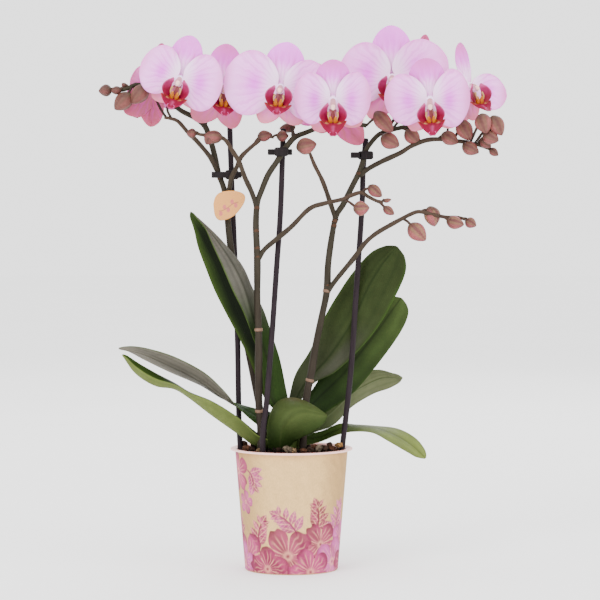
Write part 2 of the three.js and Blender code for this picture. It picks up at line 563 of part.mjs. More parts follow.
function makeStems(spike, extra = 0) {
  const main = smoothCurve(spike.main);
  return [
    stem(spike.main, STEM.main + extra, STEM.tip + extra),
    ...spike.rings.map((ring) => makeRing(main, ring, extra)),
    ...spike.branches.map((points) => stem(points, STEM.branch + extra, STEM.twig + extra,
      STEM.sides, STEM.branchPitch)),
  ];
}

function pedicelEnd(bloom) {
  const frame = bloomFrame(bloom);
  return new THREE.Vector3(0, HUB_RADIUS + GAP, 0).applyMatrix4(frame).toArray();
}

function makeSpike(name) {
  const spike = SPIKES[name];
  const carried = Object.values(BLOOMS).filter((bloom) => bloom.on === name);
  return mainBody(join([
    ...makeStems(spike),
    ...spike.buds.map(makeBud),
    ...carried.map((bloom) => makePedicel([...bloom.pedicel, pedicelEnd(bloom)])),
  ]));
}

// ---- blooms ----------------------------------------------------------------------------------
function bloomFrame({ at, yaw, pitch, roll }) {
  const turn = new THREE.Euler(radians(pitch), radians(roll), radians(yaw), 'ZXY');
  return new THREE.Matrix4().makeRotationFromEuler(turn).setPosition(...at);
}

function tepalSurface(form, [length, width, degrees]) {
  const turn = radians(degrees);
  const lean = radians(form.lean);
  return (u, v) => {
    const bulge = Math.max(0, Math.sin(Math.PI * u ** form.swell)) ** form.round;
    const outline = Math.max(TIP_WIDTH, bulge + form.claw * (1 - bulge) * (1 - u));
    const across = 0.5 * width * outline * v;
    const reach = TEPAL_ROOT + (length - TEPAL_ROOT) * u;
    const along = reach * Math.cos(lean);
    const back = form.depth + reach * Math.sin(lean) + form.curl * u * u
      + form.cup * v * v * bulge;
    return new THREE.Vector3(
      Math.sin(turn) * along + Math.cos(turn) * across,
      back,
      Math.cos(turn) * along - Math.sin(turn) * across,
    );
  };
}

function placed(solid, bloom) {
  return solid.transform(bloomFrame(bloom).toArray());
}

function makeBloom(bloom) {
  const hub = solidOf(new THREE.IcosahedronGeometry(HUB_RADIUS));
  const column = stem(COLUMN.path, COLUMN.radius, COLUMN.end, 6, 20);
  const tepals = TEPAL_FORMS.map((form, i) => blade(tepalSurface(form, bloom.tepals[i]),
    form.rows, form.columns, TEPAL_THICKNESS));
  return mainBody(placed(join([hub, column, ...tepals]), bloom));
}

// One upright side lobe of the lip; side is 1 for the right and -1 for the left.
function lobeSurface(side) {
  const { foot, rise, spread, start, depth, width } = LIP.lobe;
  return (u, v) => {
    const half = 0.5 * width * (0.4 + 0.6 * Math.sin(Math.PI * (0.08 + 0.84 * u)));
    return new THREE.Vector3(
      side * (start + spread * Math.sin(Math.PI * (0.06 + 0.8 * u)) + 0.75 * half * v),
      depth - 1.6 * Math.sin(Math.PI * u) - 0.66 * half * v,
      foot + rise * u,
    );
  };
}

// The lip's front lobe: a short kite with a wing on each side.
function apronSurface(u, v) {
  const { from, length, fall, width } = LIP.apron;
  const wings = u < 0.25 ? 0.4 + 2.4 * u : 1 - 0.84 * ((u - 0.25) / 0.75) ** 1.3;
  const along = length * u;
  return new THREE.Vector3(
    0.5 * width * wings * v,
    from[1] - along * Math.cos(radians(fall)) + 1.2 * v * v * wings,
    from[2] - along * Math.sin(radians(fall)) + 2.2 * v * v * wings,
  );
}

function makeLip(bloom) {
  const lip = join([
    stem(LIP.claw.path, LIP.claw.radius, LIP.claw.radius, 4, 20),
    egg(LIP.callus.base, LIP.callus.tip, LIP.callus.radius, 5, 3),
    blade(lobeSurface(1), 3, 2, LIP_THICKNESS),
    blade(lobeSurface(-1), 3, 2, LIP_THICKNESS),
    blade(apronSurface, 3, 2, LIP_THICKNESS),
  ]);
  return mainBody(placed(lip, bloom));
}

// ---- stakes, clips, tag ----------------------------------------------------------------------
function makeStake(points, extra = 0) {
  const [first, second] = points;
  const fall = (first[2] - STAKE.foot + extra) / (second[2] - first[2]);
  const foot = first.map((value, k) => value - fall * (second[k] - value));
  foot[0] = first[0] * 0.8;
  foot[1] = first[1] * 0.8;
  return stem([foot, ...points], STAKE.radius + extra, STAKE.radius + extra, STAKE.sides, 36);
}

function makeClip({ block, lever, hook }, holes) {
  const body = [block, lever, hook].filter(Boolean).map(box);
  return mainBody(cut(join(body), holes));
}

function makeTag(holes) {
  const outline = new THREE.SplineCurve(
    [...TAG.outline, TAG.outline[0]].map(([x, z]) => new THREE.Vector2(x, z)));
  const shape = new THREE.Shape(outline.getPoints(24).slice(0, -1));
  const card = new THREE.ExtrudeGeometry(shape, { depth: TAG.thickness, bevelEnabled: false });
  card.rotateX(Math.PI / 2);
  card.translate(0, TAG.front + TAG.thickness, 0);
  return mainBody(cut(join([solidOf(card), box(TAG.grip)]), holes));
}

// ---- assembly --------------------------------------------------------------------------------
const orchid = new THREE.Group();

function addPiece(name, solid, look) {
  const [color, roughness] = COLOURS[look];
  const material = new THREE.MeshStandardMaterial({ color, roughness, metalness: 0 });
  const mesh = new THREE.Mesh(geometryOf(solid), material);
  mesh.name = name;
  orchid.add(mesh);
}

const stakes = Object.values(STAKES).map((points) => makeStake(points));
const grownStakes = Object.values(STAKES).map((points) => makeStake(points, GAP));
const grownStems = Object.values(SPIKES).map((spike) => join(makeStems(spike, GAP)));
const grownCrown = makeCrown(GAP);

addPiece('pot', makePot(), 'pot');
Object.keys(STAKES).forEach((side, i) => addPiece(`stake_${side}`, stakes[i], 'stake'));
addPiece('crown', mainBody(cut(makeCrown(), [...grownStems, ...grownStakes])), 'crown');

const grownLeaves = [];
for (const [name, lines] of Object.entries(LEAVES)) {
  const leaf = cut(makeLeaf(lines), [grownCrown, ...grownStems, ...grownStakes, ...grownLeaves]);
  addPiece(name, mainBody(leaf), 'leaf');
  grownLeaves.push(makeLeaf(lines, GAP));
}

const leafBeds = grownLeaves.map((leaf) => leaf.add(leaf.translate([0, 0, -GAP])));
addPiece('bark', makeBark([grownCrown, ...grownStems, ...grownStakes, ...leafBeds]), 'bark');
for (const name of Object.keys(SPIKES)) addPiece(name, makeSpike(name), 'spike');
for (const [name, clip] of Object.entries(CLIPS)) {
  addPiece(name, makeClip(clip, [...grownStems, ...grownStakes]), 'clip');
}
addPiece('tag', makeTag([...grownStems, ...grownStakes]), 'tag');
for (const [name, bloom] of Object.entries(BLOOMS)) {
  addPiece(name, makeBloom(bloom), 'bloom');
  addPiece(`${name}_lip`, makeLip(bloom), 'lip');
}

export default orchid;
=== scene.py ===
"""A potted moth orchid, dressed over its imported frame. The scene is in metres with +Z up. Its origin
is the middle of the pot's foot, and its front looks towards -Y. Sizes and places are written in
millimetres, but those of materials, floor and lamps in metres."""
import math

import bpy
import numpy as np
from mathutils import Matrix, Vector


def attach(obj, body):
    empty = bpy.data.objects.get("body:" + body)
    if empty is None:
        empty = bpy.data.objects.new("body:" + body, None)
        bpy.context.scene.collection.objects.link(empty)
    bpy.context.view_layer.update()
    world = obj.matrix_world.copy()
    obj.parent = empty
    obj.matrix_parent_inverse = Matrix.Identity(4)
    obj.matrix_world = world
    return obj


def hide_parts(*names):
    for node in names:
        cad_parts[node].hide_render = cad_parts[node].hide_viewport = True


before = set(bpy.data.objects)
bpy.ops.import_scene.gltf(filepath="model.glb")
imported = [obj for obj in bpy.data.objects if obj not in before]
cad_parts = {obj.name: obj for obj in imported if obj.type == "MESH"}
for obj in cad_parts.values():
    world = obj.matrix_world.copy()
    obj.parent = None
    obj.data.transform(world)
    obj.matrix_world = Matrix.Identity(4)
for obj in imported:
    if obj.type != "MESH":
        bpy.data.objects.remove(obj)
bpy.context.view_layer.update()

MM = 0.001


def new_object(name, data):
    thing = bpy.data.objects.new(name, data)
    bpy.context.collection.objects.link(thing)
    return thing


# ---- camera ----
# Its place, how many degrees it looks down, and its focal length and picture width in picture
# elements; the sensor's width in millimetres.
CAMERA = {"at": (6.3, -2000, 290), "down": 2.59, "focal_px": 2710, "picture_px": 600, "sensor": 36}


def make_camera():
    data = bpy.data.cameras.new("camera")
    data.sensor_width = CAMERA["sensor"]
    data.sensor_fit = "HORIZONTAL"
    data.lens = CAMERA["sensor"] * CAMERA["focal_px"] / CAMERA["picture_px"]
    data.clip_end = 100
    camera = new_object("camera", data)
    camera.location = Vector(CAMERA["at"]) * MM
    camera.rotation_euler = (math.radians(90 - CAMERA["down"]), 0, 0)
    bpy.context.scene.camera = camera


# ---- colours ----
def lin(*srgb):
    """The linear colour that shaders take, from one of 0 to 1 a channel as a screen shows it."""
    c = np.array(srgb, dtype=float)
    return np.where(c <= 0.04045, c / 12.92, ((c + 0.055) / 1.055) ** 2.4)


def blend(a, b, share):
    """a where share is 0, b where it is 1, for colours and for arrays of them."""
    share = np.asarray(share, dtype=float)[..., None]
    return np.asarray(a) * (1 - share) + np.asarray(b) * share


def paint(base, *coats):
    """The base colour under coats, each a colour and how much of it shows at each point."""
    for colour, share in coats:
        base = blend(base, colour, share)
    return base


def shade(colour, factor, share):
    """The colour times factor where share is 1, and as it is where share is 0."""
    return blend(colour, colour * factor, share)


# ---- small maths ----
FINE = 400  # points of a curve on which places along it are looked up


def smooth(low, high, x):
    """From 0 at low to 1 at high, with soft ends."""
    t = np.clip((x - low) / (high - low), 0, 1)
    return t * t * (3 - 2 * t)


def hump(x, middle, width):
    """1 at the middle, and falling off on both sides of it."""
    return np.exp(-(((x - middle) / width) ** 2))


def unit(v):
    return v / np.maximum(np.linalg.norm(v, axis=-1, keepdims=True), 1e-9)


def spread(rows, columns, low=-1.0):
    """Two arrays over rows x columns points: 0 to 1 down the rows, low to 1 along them."""
    return np.meshgrid(np.linspace(0, 1, rows), np.linspace(low, 1, columns), indexing="ij")


def ring_angles(count):
    return np.linspace(0, 2 * math.pi, count, endpoint=False)


def xyz(x, y, z):
    """Points from arrays of their three coordinates."""
    return np.stack(np.broadcast_arrays(x, y, z), axis=-1)


def turned(radius, angle, height):
    """Points at a radius, an angle and a height about +Z."""
    return xyz(radius * np.cos(angle), radius * np.sin(angle), height)


def moved(points, matrix):
    m = np.array(matrix)
    return np.asarray(points, dtype=float) @ m[:3, :3].T + m[:3, 3]


def spline(points, t):
    """The smooth curve through the points at each t, 0 to 1, in even steps from point to point."""
    points = np.asarray(points, dtype=float)
    t = np.atleast_1d(t)
    ends = np.concatenate([2 * points[:1] - points[1:2], points, 2 * points[-1:] - points[-2:-1]])
    at = t * (len(points) - 1)
    i = np.clip(np.floor(at).astype(int), 0, len(points) - 2)
    w = (at - i).reshape(-1, *([1] * (points.ndim - 1)))
    p0, p1, p2, p3 = (ends[i + k] for k in range(4))
    m1, m2 = (p2 - p0) / 2, (p3 - p1) / 2
    return (p1 + m1 * w + (3 * (p2 - p1) - 2 * m1 - m2) * w ** 2
            + (2 * (p1 - p2) + m1 + m2) * w ** 3)


def even_spline(points, count=None, pitch=None):
    """Points of the smooth curve at even distances: count of them, or else one about every
    pitch."""
    fine = spline(points, np.linspace(0, 1, FINE))
    run = np.concatenate([[0], np.cumsum(np.linalg.norm(np.diff(fine, axis=0), axis=1))])
    at = np.linspace(0, run[-1], count or max(6, int(run[-1] / pitch)))
    return np.stack([np.interp(at, run, fine[:, k]) for k in range(3)], axis=1)


# ---- meshes ----
class Shape:
    """The faces of one piece, with a colour (tint) and a place on its blade (mark) per vertex.
    A mark is how far along, how far across, and which face: 1 for the upper, 0 for the under."""

    def __init__(self):
        self.points, self.tints, self.marks, self.faces, self.looks = [], [], [], [], []
        self.count = 0

    def add(self, points, faces, tints, marks=(0, 0, 1), look=0):
        """Adds points and their faces; look says which of the piece's materials they get."""
        points = np.asarray(points, dtype=float).reshape(-1, 3)
        self.points.append(points)
        for store, values in ((self.tints, tints), (self.marks, marks)):
            values = np.asarray(values, dtype=float).reshape(-1, 3)
            store.append(np.broadcast_to(values, points.shape))
        self.faces += [[int(k) + self.count for k in face] for face in faces]
        self.looks += [look] * len(faces)
        self.count += len(points)

    def build(self, name, materials, nodes=(), matrix=None, rounded=True):
        """Makes the piece, which rides on the plant's one body and stands for the nodes; rounded
        smooths its shading."""
        points = np.concatenate(self.points)
        if matrix is not None:
            points = moved(points, matrix)
        mesh = bpy.data.meshes.new(name)
        mesh.from_pydata((points * MM).tolist(), [], self.faces)
        for label, data in (("tint", self.tints), ("mark", self.marks)):
            rgba = np.insert(np.concatenate(data), 3, 1.0, axis=1).astype(np.float32)
            layer = mesh.color_attributes.new(label, "FLOAT_COLOR", "POINT")
            layer.data.foreach_set("color", rgba.ravel())
        for material in materials:
            mesh.materials.append(material)
        mesh.polygons.foreach_set("material_index", self.looks)
        mesh.polygons.foreach_set("use_smooth", [rounded] * len(mesh.polygons))
        mesh.update()
        piece = new_object(name, mesh)
        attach(piece, "root")
        if nodes:
            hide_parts(*nodes)


def grid_faces(rows, columns, wrap=False):
    """Quads over rows x columns points; wrap joins the last column to the first."""
    last = columns if wrap else columns - 1
    return [(i * columns + j, i * columns + (j + 1) % columns,
             (i + 1) * columns + (j + 1) % columns, (i + 1) * columns + j)
            for i in range(rows - 1) for j in range(last)]


def ring_faces(rings, sides, top=True):
    """Quads over closed rings of points, a flat cap on the first ring and, with top, the last."""
    faces = grid_faces(rings, sides, wrap=True)
    faces.append(tuple(range(sides))[::-1])
    if top:
        faces.append(tuple(range((rings - 1) * sides, rings * sides)))
    return faces


def sheet_normal(grid):
    return unit(np.cross(np.gradient(grid, axis=0), np.gradient(grid, axis=1)))


def add_sheet(shape, grid, thickness, front, back, upper=1, across=None):
    """A thin closed sheet about a grid of points, with its own colours on each face. upper is -1
    where the back is its upper face; across, 0 to 1, is where its veins run, if not straight."""
    rows, columns = grid.shape[:2]
    total = rows * columns
    half = sheet_normal(grid) * (np.broadcast_to(thickness, (rows, columns))[..., None] / 2)
    u, v = spread(rows, columns, 0)
    marks = [xyz(u, v if across is None else across, float(side == upper)) for side in (1, -1)]
    quads = grid_faces(rows, columns)
    faces = [face[::-1] for face in quads] + [[k + total for k in face] for face in quads]
    index = np.arange(total).reshape(rows, columns)
    rim = [*index[0, :-1], *index[:-1, -1], *index[-1, :0:-1], *index[:0:-1, 0]]
    faces += [(a, b, b + total, a + total) for a, b in zip(rim, rim[1:] + rim[:1])]
    tints = [np.broadcast_to(tint, grid.shape) for tint in (front, back)]
    shape.add([grid + half, grid - half], faces, tints, marks)


def add_tube(shape, points, radii, tints, sides=12, look=0, relief=1.0):
    """A closed round tube along points, with a radius and a colour at each point. relief scales
    the radius at each (ring, side)."""
    points = np.asarray(points, dtype=float)
    rings = len(points)
    swell = np.broadcast_to(np.broadcast_to(radii, rings)[:, None] * relief, (rings, sides))
    way = unit(np.gradient(points, axis=0))
    side = np.cross(way[0], [0.0, 0.0, 1.0])
    if np.linalg.norm(side) < 0.2:
        side = np.cross(way[0], [0.0, 1.0, 0.0])
    side = unit(side)
    angle = ring_angles(sides)
    grid = np.zeros((rings, sides, 3))
    for i in range(rings):
        side = unit(side - way[i] * np.dot(side, way[i]))
        circle = np.cos(angle)[:, None] * side + np.sin(angle)[:, None] * np.cross(way[i], side)
        grid[i] = points[i] + swell[i, :, None] * circle
    if np.ndim(tints) < 3:
        tints = np.asarray(tints, dtype=float).reshape(-1, 1, 3)
    tints = np.broadcast_to(tints, grid.shape)
    marks = xyz(np.linspace(0, 1, rings)[:, None], angle / (2 * math.pi), 1.0)
    first, last = rings * sides, rings * sides + 1
    faces = grid_faces(rings, sides, wrap=True)
    faces += [(first, (j + 1) % sides, j) for j in range(sides)]
    faces += [(last, first - sides + j, first - sides + (j + 1) % sides) for j in range(sides)]

    def with_ends(values, start, end):
        return np.concatenate([values.reshape(-1, 3), [start, end]])

    shape.add(with_ends(grid, points[0], points[-1]), faces,
              with_ends(tints, tints[0, 0], tints[-1, 0]),
              with_ends(marks, marks[0, 0], marks[-1, 0]), look)


# ---- materials ----
class Look:
    """A material and short names for the nodes that drive it."""

    def __init__(self, name, roughness=0.5, specular=0.5):
        self.material = bpy.data.materials.new(name)
        self.material.use_nodes = True
        self.tree = self.material.node_tree
        self.shader = self.tree.nodes["Principled BSDF"]
        self.shader.inputs["Roughness"].default_value = roughness
        self.shader.inputs["Specular IOR Level"].default_value = specular

    def put(self, socket, value):
        if isinstance(value, bpy.types.NodeSocket):
            self.tree.links.new(value, socket)
        elif socket.type == "RGBA":
            socket.default_value = (*value, 1.0)
        else:
            socket.default_value = value

    def node(self, kind, inputs=(), **settings):
        """A new node with its settings; inputs are pairs of a socket's name or place and a value."""
        node = self.tree.nodes.new(f"ShaderNode{kind}")
        for key, value in settings.items():
            setattr(node, key, value)
        for socket, value in inputs:
            self.put(node.inputs[socket], value)
        return node

    def math(self, operation, *values, clamp=False):
        return self.node("Math", enumerate(values), operation=operation, use_clamp=clamp).outputs[0]

    def mix(self, share, a, b):
        return self.node("Mix", ((0, share), (6, a), (7, b)), data_type="RGBA").outputs[2]

    def ramp(self, value, low, high, start=0.0, end=1.0):
        return self.node("MapRange", enumerate((value, low, high, start, end)),
                         interpolation_type="SMOOTHSTEP").outputs[0]

    def noise(self, scale, detail=3.0, rough=0.5, stretch=None):
        place = self.node("TexCoord").outputs["Object"]
        if stretch:
            place = self.node("Mapping", (("Scale", stretch), ("Vector", place))).outputs[0]
        inputs = (("Vector", place), ("Scale", scale), ("Detail", detail), ("Roughness", rough))
        return self.node("TexNoise", inputs).outputs["Fac"]

    def attribute(self, name):
        return self.node("Attribute", attribute_name=name).outputs["Color"]

    def tint(self):
        return self.attribute("tint")

    def marks(self):
        """How far along a blade, how far across it, and which face."""
        return self.node("SeparateColor", ((0, self.attribute("mark")),)).outputs

    def vary(self, colour, value, amount):
        """The colour made lighter and darker by up to amount, as value goes from 0 to 1."""
        factor = self.ramp(value, 0.25, 0.75, 1 - amount, 1 + amount)
        return self.node("VectorMath", ((0, colour), ("Scale", factor)),
                         operation="SCALE").outputs[0]

    def bump(self, height, distance, strength=1.0):
        node = self.node("Bump", (("Distance", distance), ("Strength", strength),
                                  ("Height", height)))
        self.put(self.shader.inputs["Normal"], node.outputs[0])

    def soften(self, weight, scale, radius):
        for label, value in (("Weight", weight), ("Scale", scale), ("Radius", radius)):
            self.shader.inputs[f"Subsurface {label}"].default_value = value

    def finish(self, colour, roughness=None):
        self.put(self.shader.inputs["Base Color"], colour)
        if roughness is not None:
            self.put(self.shader.inputs["Roughness"], roughness)
        return self.material


def vein_lines(look, across, count, wander, sharpness):
    """Thin lines down a blade, evenly spaced across it, from 0 between them to 1 on them."""
    shift = look.math("MULTIPLY", look.noise(140, 2.0), wander)
    phase = look.math("MULTIPLY_ADD", across, count, shift)
    wave = look.math("ABSOLUTE", look.math("COSINE", look.math("MULTIPLY", phase, math.pi)))
    return look.math("POWER", wave, sharpness)


def petal_look():
    """Pale petals with a net of lilac veins, finer towards the tip and fading there."""
    look = Look("petal", roughness=0.65, specular=0.12)
    along, across, _ = look.marks()
    main = look.math("MULTIPLY", vein_lines(look, across, 14.0, 1.2, 6.0),
                     look.ramp(along, 0.12, 0.4))
    fine = look.math("MULTIPLY", vein_lines(look, across, 31.0, 2.6, 4.0),
                     look.ramp(along, 0.3, 0.6))
    net = look.math("ADD", main, look.math("MULTIPLY", fine, 0.55), clamp=True)
    fading = look.math("MULTIPLY", net, look.ramp(along, 0.45, 0.85, 0.34, 0.0))
    colour = look.vary(look.tint(), look.noise(90, 3.0), 0.035)
    cells = look.noise(3200, 2.0)
    look.bump(look.math("MULTIPLY_ADD", net, -0.6, cells), 0.00012, 0.35)
    look.soften(0.35, 0.0022, (1.0, 0.55, 0.8))
    return look.finish(look.mix(fading, colour, lin(0.79, 0.21, 0.75)))


def lip_look():
    look = Look("lip", roughness=0.5, specular=0.14)
    streaks = vein_lines(look, look.marks()[1], 7.0, 1.2, 3.0)
    colour = look.vary(look.tint(), look.noise(500, 3.0), 0.10)
    look.bump(look.noise(2200, 2.0), 0.00014, 0.4)
    look.soften(0.15, 0.0012, (1.0, 0.3, 0.35))
    return look.finish(look.mix(look.math("MULTIPLY", streaks, 0.12), colour,
                                lin(0.35, 0.038, 0.123)))


def flesh_look(name, roughness, grain, glow):
    """Columns, calli and buds: their painted colour with a fine grain and some inner glow."""
    look = Look(name, roughness=roughness, specular=0.2)
    colour = look.vary(look.tint(), look.noise(grain, 4.0, 0.6), 0.14)
    look.bump(look.noise(grain * 4, 3.0), 0.00015, 0.45)
    look.soften(glow, 0.0015, (1.0, 0.45, 0.4))
    return look.finish(colour)


def leaf_look():
    """Leaves with fine lines along them; their upper face is the glossier one."""
    look = Look("leaf", specular=0.05)
    _, across, face = look.marks()
    lines = vein_lines(look, across, 30.0, 0.5, 2.0)
    colour = look.vary(look.tint(), look.noise(60, 4.0, 0.6), 0.16)
    colour = look.vary(colour, look.noise(1300, 2.0), 0.07)
    colour = look.mix(look.math("MULTIPLY", lines, 0.10), colour, lin(0.092, 0.152, 0.042))
    look.bump(look.math("MULTIPLY_ADD", lines, 0.8, look.noise(1600, 2.0)), 0.00018, 0.35)
    patches = look.math("MULTIPLY", look.noise(70, 2.0), 0.12)
    return look.finish(colour, look.math("ADD", look.ramp(face, 0.0, 1.0, 0.56, 0.36), patches))


def grained_look(name, specular, grain, vary, bump, rough, fine=None, mottle=None):
    """A look whose main grain makes it lighter and darker, uneven and more or less glossy. A grain
    is a noise's scale, detail, roughness and stretch. fine is a second one, with its own vary, and
    mottle a look's own two colours in place of painted ones."""
    look = Look(name, specular=specular)
    main = look.noise(*grain)
    colour = look.mix(look.noise(40, 2.0), *mottle) if mottle else look.tint()
    colour = look.vary(colour, main, vary)
    if fine:
        *second, amount = fine
        colour = look.vary(colour, look.noise(*second), amount)
    look.bump(main, *bump)
    return look.finish(colour, look.ramp(main, 0.3, 0.7, *rough))


def dark_plastic_look(name, colour, rough):
    return grained_look(name, 0.05, (700, 4.0, 0.6, (1.0, 1.0, 0.08)), vary=0.22,
                        bump=(0.00012, 0.4), rough=rough, mottle=(colour, colour * 1.5))


def rim_look():
    """The pot's pale moulded rim, with a little light coming through it."""
    look = Look("pot_rim", specular=0.3)
    cloud = look.noise(120, 3.0)
    look.soften(0.6, 0.003, (1.0, 0.8, 0.75))
    look.bump(look.noise(1500, 2.0), 0.00005, 0.3)
    return look.finish(look.vary(look.tint(), cloud, 0.03), look.ramp(cloud, 0.3, 0.7, 0.3, 0.42))


PETAL, LIP, LEAF, RIM = petal_look(), lip_look(), leaf_look(), rim_look()
FLESH = flesh_look("flesh", 0.5, 900, 0.25)
BUD = flesh_look("bud", 0.52, 520, 0.12)
STEM = grained_look("stem", 0.04, (420, 4.0, 0.6, (1.0, 1.0, 0.16)), vary=0.17,
                    bump=(0.00025, 0.5), rough=(0.46, 0.62), fine=(1800, 2.0, 0.08))
BARK = grained_look("bark", 0.08, (420, 6.0, 0.7), vary=0.6, bump=(0.0012, 0.9),
                    rough=(0.72, 0.95), fine=(1900, 4.0, 0.35))
# Brown card: fibres that run round the pot, and broad faint clouds.
PRINT = grained_look("pot_print", 0.12, (1100, 4.0, 0.7, (1.0, 1.0, 0.6)), vary=0.11,
                     bump=(0.00014, 0.6), rough=(0.6, 0.72), fine=(160, 4.0, 0.045))
CARD = grained_look("card", 0.3, (1500, 3.0, 0.6), vary=0.04, bump=(0.00005, 0.4),
                    rough=(0.58, 0.7))
STICK = dark_plastic_look("stick", lin(0.123, 0.098, 0.112), (0.36, 0.52))
CLIP = dark_plastic_look("clip", lin(0.104, 0.090, 0.094), (0.39, 0.55))


# ---- pot ----
# inside and skin are how far in from the printed face the wall's inner face and the rim's own
# outer face lie.
POT = {"height": 90.2, "foot_radius": 34.4, "neck_radius": 41.7, "lip_radius": 45.2,
       "neck_height": 88.7, "inside": 1.3, "skin": 0.45, "floor": 2.0, "underside": 1.3}
# BUFF_SHADE is the card's darker tone, for its grain and for the painted shade at its sides.
BUFF, BUFF_SHADE = lin(0.83, 0.68, 0.45), lin(0.59, 0.46, 0.29)
# The pot's pale inner wall and floor are painted dark: shade inside the pot.
RIM_PALE, RIM_INSIDE_SHADE = lin(0.93, 0.73, 0.70), lin(0.25, 0.21, 0.184)
# Light and dark of each wash of the print.
WASHES = [(lin(0.67, 0.26, 0.44), lin(0.45, 0.145, 0.26)),
          (lin(0.71, 0.30, 0.53), lin(0.50, 0.172, 0.32)),
          (lin(0.59, 0.22, 0.36), lin(0.41, 0.141, 0.22)),
          (lin(0.73, 0.34, 0.59), lin(0.53, 0.186, 0.36))]
VEIN_CREAM = lin(0.90, 0.64, 0.53)
PRINT_STEPS = (180, 680)  # rows and columns of the printed wall
GRAIN_WAVES = 14
# A blossom of the print is how many degrees round the pot it sits, its height and its size.
BLOSSOMS = [(-74, 74, 16), (-60, 52, 9), (-100, 60, 12), (-122, 76, 11), (-62, 10, 21),
            (-30, 4, 17), (-4, 14, 22), (24, 2, 18), (36, 22, 17), (58, 8, 19), (76, 24, 15),
            (92, 6, 18), (116, 14, 20), (142, 6, 17), (166, 15, 21), (192, 4, 18), (214, 16, 19),
            (240, 6, 18), (262, 16, 18), (284, 6, 17), (130, 66, 12), (148, 52, 8)]
# A sprig is where it starts, the way it starts out, its length and how it bends at each joint.
SPRIGS = [(-40, 16, 1.75, 22, -0.2), (8, 28, 2.0, 22, 0.2), (28, 30, 1.2, 20, 0.2),
          (62, 26, 1.7, 22, -0.15), (-84, 24, 1.4, 18, 0.2), (100, 20, 1.8, 24, -0.12),
          (152, 20, 1.4, 22, 0.15), (200, 20, 1.7, 26, -0.14), (228, 20, 1.5, 24, 0.12),
          (-52, 76, -0.6, 13, -0.35), (134, 62, -1.3, 16, 0.15)]
SPRIG_JOINTS = 4


def pot_radius(z):
    share = (POT["neck_radius"] - POT["foot_radius"]) / POT["neck_height"]
    return POT["foot_radius"] + share * np.asarray(z, dtype=float)


class PrintedWall:
    """The outside of the pot's wall, as points with a colour at each: print and painted shade."""

    def __init__(self):
        rows, columns = PRINT_STEPS
        self.z, self.angle = np.meshgrid(np.linspace(1.0, POT["neck_height"], rows),
                                         ring_angles(columns), indexing="ij")
        self.radius = pot_radius(self.z)
        self.random = np.random.default_rng(11)
        self.grain = np.zeros_like(self.z)
        for _ in range(GRAIN_WAVES):
            turns = int(self.random.integers(3, 34))
            lift, phase = self.random.uniform(0.1, 0.9), self.random.uniform(0, 6.3)
            self.grain += np.sin(turns * self.angle + lift * self.z + phase) / 5
        dark = 0.08 * smooth(-0.8, 1.2, self.grain)
        # Painted shade: the card is darkened towards the pot's left and right sides.
        dark += 0.7 * smooth(0.35, 0.95, np.abs(np.cos(self.angle)))
        self.picture = blend(BUFF, BUFF_SHADE, dark)

    def near(self, degrees, height, reach):
        """The points within reach of a place: which they are, and how far right and up."""
        turn = self.angle - math.radians(degrees - 90)
        x = ((turn + math.pi) % (2 * math.pi) - math.pi) * self.radius
        y = self.z - height
        inside = np.hypot(x, y) < reach
        return inside, x[inside], y[inside]

    def lay(self, where, share, colour):
        self.picture[where] = blend(self.picture[where], colour, np.clip(share, 0, 1))


def print_blossom(wall, degrees, height, size, turn, wash):
    """An open blossom of five broad petals, washed on, with veins left bare."""
    where, x, y = wall.near(degrees, height, 1.15 * size)
    grain = wall.grain[where]
    r, angle = np.hypot(x, y), np.arctan2(y, x) - turn
    petal = np.abs(np.cos(2.5 * angle))
    edge = size * (0.30 + 0.70 * petal ** 0.35) * (1 + 0.05 * grain)
    inside = 1 - smooth(-0.3, 0.3, r - edge)
    depth = np.clip(r / edge, 0, 1)
    pools = smooth(-0.6, 0.9, np.sin(0.33 * x + 0.21 * y + turn) + 0.7 * grain)
    deep = np.clip(0.05 + 0.55 * pools + 0.5 * smooth(0.8, 1.0, depth) * petal, 0, 1)
    wall.lay(where, 0.95 * inside, blend(*wash, deep))
    veins = np.abs(np.cos(10 * angle + 0.8 * grain)) ** 10
    veins = 0.45 * veins * smooth(0.15, 0.4, depth) * (1 - smooth(0.6, 0.9, depth))
    gaps = 0.8 * hump(petal, 0, 0.10) * smooth(0.1, 0.4, depth)
    heart = 0.6 * hump(r, 0.1 * size, 0.08 * size)
    for bare in (veins, gaps, heart):
        wall.lay(where, inside * bare, VEIN_CREAM)
    wall.lay(where, 0.8 * hump(r, 0, 0.06 * size), wash[1])


def print_leaf(wall, where, x, y, length, width, turn, wash):
    """A pointed leaf that starts where x and y are 0, with its midrib and veins left bare."""
    along = x * math.cos(turn) + y * math.sin(turn)
    across = -x * math.sin(turn) + y * math.cos(turn)
    share = np.clip(along / length, 0, 1)
    half = 0.5 * width * np.sin(math.pi * share ** 0.8)
    inside = (1 - smooth(-0.25, 0.25, np.abs(across) - half)) * (along > 0) * (along < length)
    deep = np.clip(0.75 - 0.5 * share + 0.4 * wall.grain[where], 0, 1)
    wall.lay(where, 0.92 * inside, blend(*wash, deep))
    wall.lay(where, 0.75 * inside * hump(across, 0, 0.28) * (1 - smooth(0.8, 1, share)), VEIN_CREAM)
    veins = np.abs(np.sin(1.1 * (along - 0.8 * np.abs(across)) + 0.6)) ** 14
    wall.lay(where, 0.4 * inside * veins, VEIN_CREAM)


